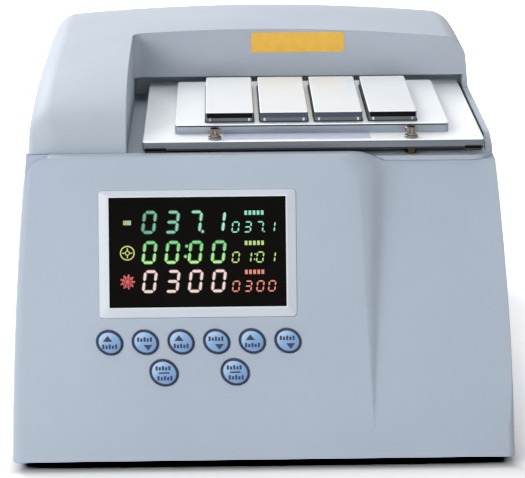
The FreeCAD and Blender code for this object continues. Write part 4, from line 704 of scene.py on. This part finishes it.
def clamp_thumb_screws():
    """Fluted clamp screws with a waist over a flange, turned in one mesh."""
    bm = bmesh.new()
    for x, y in clamp_spots():
        rings = []
        for radius, height, fluted in SCREW_PROFILE:
            loop = []
            for step in range(TURN_STEPS):
                angle = 2 * math.pi * step / TURN_STEPS
                depth = 0.55 * max(0.0, math.cos(FLUTES * angle)) ** 0.5 if fluted else 0.0
                reach = max(radius - depth, 0.002) * MM
                loop.append(bm.verts.new((x + reach * math.cos(angle), y + reach * math.sin(angle),
                                          PLATE_HIGH.z + height * MM)))
            rings.append(loop)
        for first, second in zip(rings, rings[1:]):
            for step in range(TURN_STEPS):
                following = (step + 1) % TURN_STEPS
                bm.faces.new((first[step], first[following], second[following], second[step]))
        bm.faces.new(list(reversed(rings[0])))
        bm.faces.new(rings[-1])
    bmesh.ops.recalc_face_normals(bm, faces=bm.faces)
    mesh = bpy.data.meshes.new("clamp_thumb_screws")
    bm.to_mesh(mesh)
    bm.free()
    screws = mesh_piece("clamp_thumb_screws", mesh, turned_metal("fluted_chrome", (0.17, 0.155, 0.14), 0.22),
                        "stage")
    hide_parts("clamp_screws")


def cover_details():
    """On each cover a thin black rim at its foot, and on its front face a dark band of painted reflection and two
    bright pads.
    """
    foot_rim = black_rubber("cover_seal", (0.012, 0.013, 0.015))
    black_reflection = printed_ink("reflection_black", (0.004, 0.004, 0.004), 0.4, 0.05)
    slate_reflection = printed_ink("reflection_slate", (0.060, 0.078, 0.105), 0.4, 0.2)
    pad_metal = turned_metal("pad_metal", (0.42, 0.44, 0.48), 0.25)
    for number in COVERS:
        low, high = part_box("slide_cover_%d" % number)
        body = "cover_%d" % number
        # A thin black rim round the cover's foot
        outline = rectangle((low.x - 0.45 * MM, low.y - 0.3 * MM), (high.x + 0.45 * MM, high.y + 0.3 * MM), 1.2 * MM)
        plates("cover_seal_%d" % number, [outline], (low.z + 0.03 * MM, low.z + 0.55 * MM),
               upright, foot_rim, body)

        def face(x, z, y, front=low.y):
            return on_face(x, z, y, front)

        # Painted reflection: the dark band stands for dark surroundings mirrored in the cover's front face, black on
        # the two outer covers and slate on the inner ones
        band = rectangle((low.x + 0.6 * MM, high.z - 2.9 * MM), (high.x - 0.6 * MM, high.z - 0.35 * MM), 0.4 * MM)
        plates("cover_band_%d" % number, [band], (-0.05 * MM, 0.06 * MM), face,
               black_reflection if number in (COVERS[0], COVERS[-1]) else slate_reflection, body)
        pads = [rectangle((x - 0.5 * MM, low.z + 0.75 * MM), (x + 0.5 * MM, low.z + 2.2 * MM))
                for x in (low.x + 2.2 * MM, high.x - 2.2 * MM)]
        plates("cover_pads_%d" % number, pads, (-0.05 * MM, 0.15 * MM), face, pad_metal, body)


def upright(x, y, z):
    """A point that is already in place, for plates drawn from above."""
    return Vector((x, y, z))


def stage_shadow_strips_and_end_blocks():
    """A black strip along the plate's lower front edge, a painted shadow under the plate, with black blocks at its
    two ends, and a dark line along the adapter's upper front edge, painted shade on that edge.
    """
    rubber = black_rubber("stage_black_rubber", (0.006, 0.006, 0.006))

    def plate_face(x, z, y):
        return on_face(x, z, y, PLATE_LOW.y)

    def adapter_face(x, z, y):
        return on_face(x, z, y, ADAPTER_LOW.y)

    # Painted shadow: the black strip stands for the shadow in the gap under the plate's front edge
    strip = rectangle((PLATE_LOW.x + 0.6 * MM, PLATE_LOW.z - 0.2 * MM), (PLATE_HIGH.x - 0.6 * MM, PLATE_LOW.z + 0.7 * MM))
    ends = [rectangle((left, PLATE_LOW.z - 1.4 * MM), (right, PLATE_LOW.z + 1.3 * MM), 0.5 * MM)
            for left, right in ((PLATE_LOW.x + 1.0 * MM, PLATE_LOW.x + 11.5 * MM),
                                (PLATE_HIGH.x - 9.5 * MM, PLATE_HIGH.x - 1.2 * MM))]
    plates("plate_shadow_strip_and_end_blocks", [strip] + ends, (-0.4 * MM, 0.10 * MM), plate_face, rubber, "stage")
    # Painted shade: a dark line along the adapter's upper front edge
    line = rectangle((ADAPTER_LOW.x + 1.2 * MM, ADAPTER_HIGH.z - 1.0 * MM),
                     (ADAPTER_HIGH.x - 1.2 * MM, ADAPTER_HIGH.z - 0.4 * MM))
    plates("adapter_edge_shade", [line], (-0.1 * MM, 0.05 * MM), adapter_face, rubber, "stage")


# Surroundings

def floor_and_backdrop():
    """A pale floor that keeps the shadow and shows near white to the camera far from the case; its glow fades
    towards the case, a painted shade round the case's foot.
    """
    mesh = bpy.data.meshes.new("floor")
    size = 6.0
    mesh.from_pydata([(-size, -size, 0), (size, -size, 0), (size, size, 0), (-size, size, 0)], [], [(0, 1, 2, 3)])
    floor = bpy.data.objects.new("floor", mesh)
    bpy.context.scene.collection.objects.link(floor)
    shader = Shader("floor_white")
    diffuse = shader.add("ShaderNodeBsdfDiffuse")
    diffuse.inputs["Color"].default_value = (0.78, 0.79, 0.80, 1)
    glow = shader.add("ShaderNodeEmission")
    glow.inputs["Color"].default_value = (1, 1, 1, 1)
    split = shader.add("ShaderNodeSeparateXYZ")
    shader.link(shader.coords.outputs["Object"], split.inputs["Vector"])
    beyond = []
    for axis, half in (("X", CASE_HALF_X), ("Y", CASE_HALF_Y)):
        reach = shader.add("ShaderNodeMath", operation="ABSOLUTE")
        shader.link(split.outputs[axis], reach.inputs[0])
        past = shader.add("ShaderNodeMath", operation="SUBTRACT")
        past.inputs[1].default_value = half
        shader.link(reach.outputs["Value"], past.inputs[0])
        beyond.append(past.outputs["Value"])
    away = shader.add("ShaderNodeMath", operation="MAXIMUM")
    shader.link(beyond[0], away.inputs[0])
    shader.link(beyond[1], away.inputs[1])
    # Painted shade: the glow weakens towards the case, darkening the floor round its foot
    brighter = shader.add("ShaderNodeFloatCurve")
    curve = brighter.mapping.curves[0]
    for point, place in zip(curve.points, FLOOR_GLOW[:1] + FLOOR_GLOW[-1:]):
        point.location = place
    for place in FLOOR_GLOW[1:-1]:
        curve.points.new(*place)
    shader.link(away.outputs["Value"], brighter.inputs["Value"])
    shader.link(brighter.outputs["Value"], glow.inputs["Strength"])
    seen = seen_by_camera(shader)
    lifted = shader.add("ShaderNodeMixShader")
    shader.link(seen, lifted.inputs["Fac"])
    both = shader.add("ShaderNodeAddShader")
    shader.link(diffuse.outputs["BSDF"], both.inputs[0])
    shader.link(glow.outputs["Emission"], both.inputs[1])
    shader.link(diffuse.outputs["BSDF"], lifted.inputs[1])
    shader.link(both.outputs["Shader"], lifted.inputs[2])
    shader.link(lifted.outputs["Shader"], shader.output.inputs["Surface"])
    mesh.materials.append(shader.material)


def seen_by_camera(shader):
    """1 for what the camera sees directly, in a reflection or through glass."""
    path = shader.add("ShaderNodeLightPath")
    first = shader.add("ShaderNodeMath", operation="MAXIMUM")
    shader.link(path.outputs["Is Camera Ray"], first.inputs[0])
    shader.link(path.outputs["Is Glossy Ray"], first.inputs[1])
    second = shader.add("ShaderNodeMath", operation="MAXIMUM")
    shader.link(first.outputs["Value"], second.inputs[0])
    shader.link(path.outputs["Is Transmission Ray"], second.inputs[1])
    return second.outputs["Value"]


# The floor's glow by distance from the case, in metres; weaker near the case, so the floor is darkened round the
# case's foot as painted shade beside its real shadow
FLOOR_GLOW = ((0.0, 0.08), (0.015, 0.38), (0.05, 0.58), (0.25, 0.80), (1.0, 1.0))
SKY_LEVEL = 0.17
# Lamps: name, place, size and power
LAMPS = (
    ("back_left_light", (-1.0, 1.0, 1.2), (0.9, 0.9), 22.5),
    ("front_left_light", (-1.2, -1.2, 0.9), (0.9, 0.9), 15.6),
    ("top_light", (0.0, 0.2, 1.75), (0.9, 1.1), 8.5),
    ("low_light", (0.0, -1.7, 0.35), (0.9, 0.9), 4.4),
    ("right_fill", (1.3, -0.6, 0.9), (0.9, 0.9), 2.2),
)


def lights():
    """Soft studio lamps, and a world that shows white but lights gently."""
    target = Vector((0, 0, 0.09))
    for name, place, size, power in LAMPS:
        lamp = bpy.data.lights.new(name, "AREA")
        lamp.shape = "RECTANGLE"
        lamp.size, lamp.size_y = size
        lamp.energy = power
        holder = bpy.data.objects.new(name, lamp)
        holder.location = place
        holder.rotation_euler = (target - Vector(place)).to_track_quat("-Z", "Y").to_euler()
        bpy.context.scene.collection.objects.link(holder)
    world = bpy.data.worlds.new("studio")
    bpy.context.scene.world = world
    world.use_nodes = True
    tree = world.node_tree
    tree.nodes.clear()
    output = tree.nodes.new("ShaderNodeOutputWorld")
    shown = tree.nodes.new("ShaderNodeBackground")
    shown.inputs["Strength"].default_value = 1.0
    lighting = tree.nodes.new("ShaderNodeBackground")
    lighting.inputs["Color"].default_value = (0.93, 0.96, 1.0, 1)
    lighting.inputs["Strength"].default_value = SKY_LEVEL
    shown.inputs["Color"].default_value = (1, 1, 1, 1)
    path = tree.nodes.new("ShaderNodeLightPath")
    first = tree.nodes.new("ShaderNodeMath")
    first.operation = "MAXIMUM"
    second = tree.nodes.new("ShaderNodeMath")
    second.operation = "MAXIMUM"
    tree.links.new(path.outputs["Is Camera Ray"], first.inputs[0])
    tree.links.new(path.outputs["Is Glossy Ray"], first.inputs[1])
    tree.links.new(first.outputs["Value"], second.inputs[0])
    tree.links.new(path.outputs["Is Transmission Ray"], second.inputs[1])
    mix = tree.nodes.new("ShaderNodeMixShader")
    tree.links.new(second.outputs["Value"], mix.inputs["Fac"])
    tree.links.new(lighting.outputs["Background"], mix.inputs[1])
    tree.links.new(shown.outputs["Background"], mix.inputs[2])
    tree.links.new(mix.outputs["Shader"], output.inputs["Surface"])


CAMERA_PLACE = (-0.0194, -1.0398, 0.4179)
CAMERA_PITCH = math.radians(18.5)
CAMERA_YAW = math.radians(1.2)
CAMERA_ROLL = math.radians(-0.25)
FOCAL_PIXELS = 2014.0
PHOTO_WIDTH = 525.0
SENSOR = 36.0


def camera():
    """The camera at the photograph's viewing angle."""
    data = bpy.data.cameras.new("camera")
    data.sensor_width = SENSOR
    data.lens = SENSOR * FOCAL_PIXELS / PHOTO_WIDTH
    data.clip_end = 20.0
    holder = bpy.data.objects.new("camera", data)
    turn = Euler((math.pi / 2 - CAMERA_PITCH, 0, -CAMERA_YAW)).to_matrix()
    roll = Matrix.Rotation(CAMERA_ROLL, 3, "Z")
    holder.matrix_world = Matrix.Translation(CAMERA_PLACE) @ (turn @ roll).to_4x4()
    bpy.context.scene.collection.objects.link(holder)
    bpy.context.scene.camera = holder


dress_nodes()
soften(["lower_housing", "upper_hood"], 32)
soften(["key_" + name for name in KEY_NAMES] + ["feet", "clamp_screws"], 30)
display_marks()
display_signs()
key_prints()
key_rings()
window_trim()
strips()
clamp_thumb_screws()
cover_details()
stage_shadow_strips_and_end_blocks()
floor_and_backdrop()
lights()
camera()
bpy.context.scene.view_settings.view_transform = "Standard"
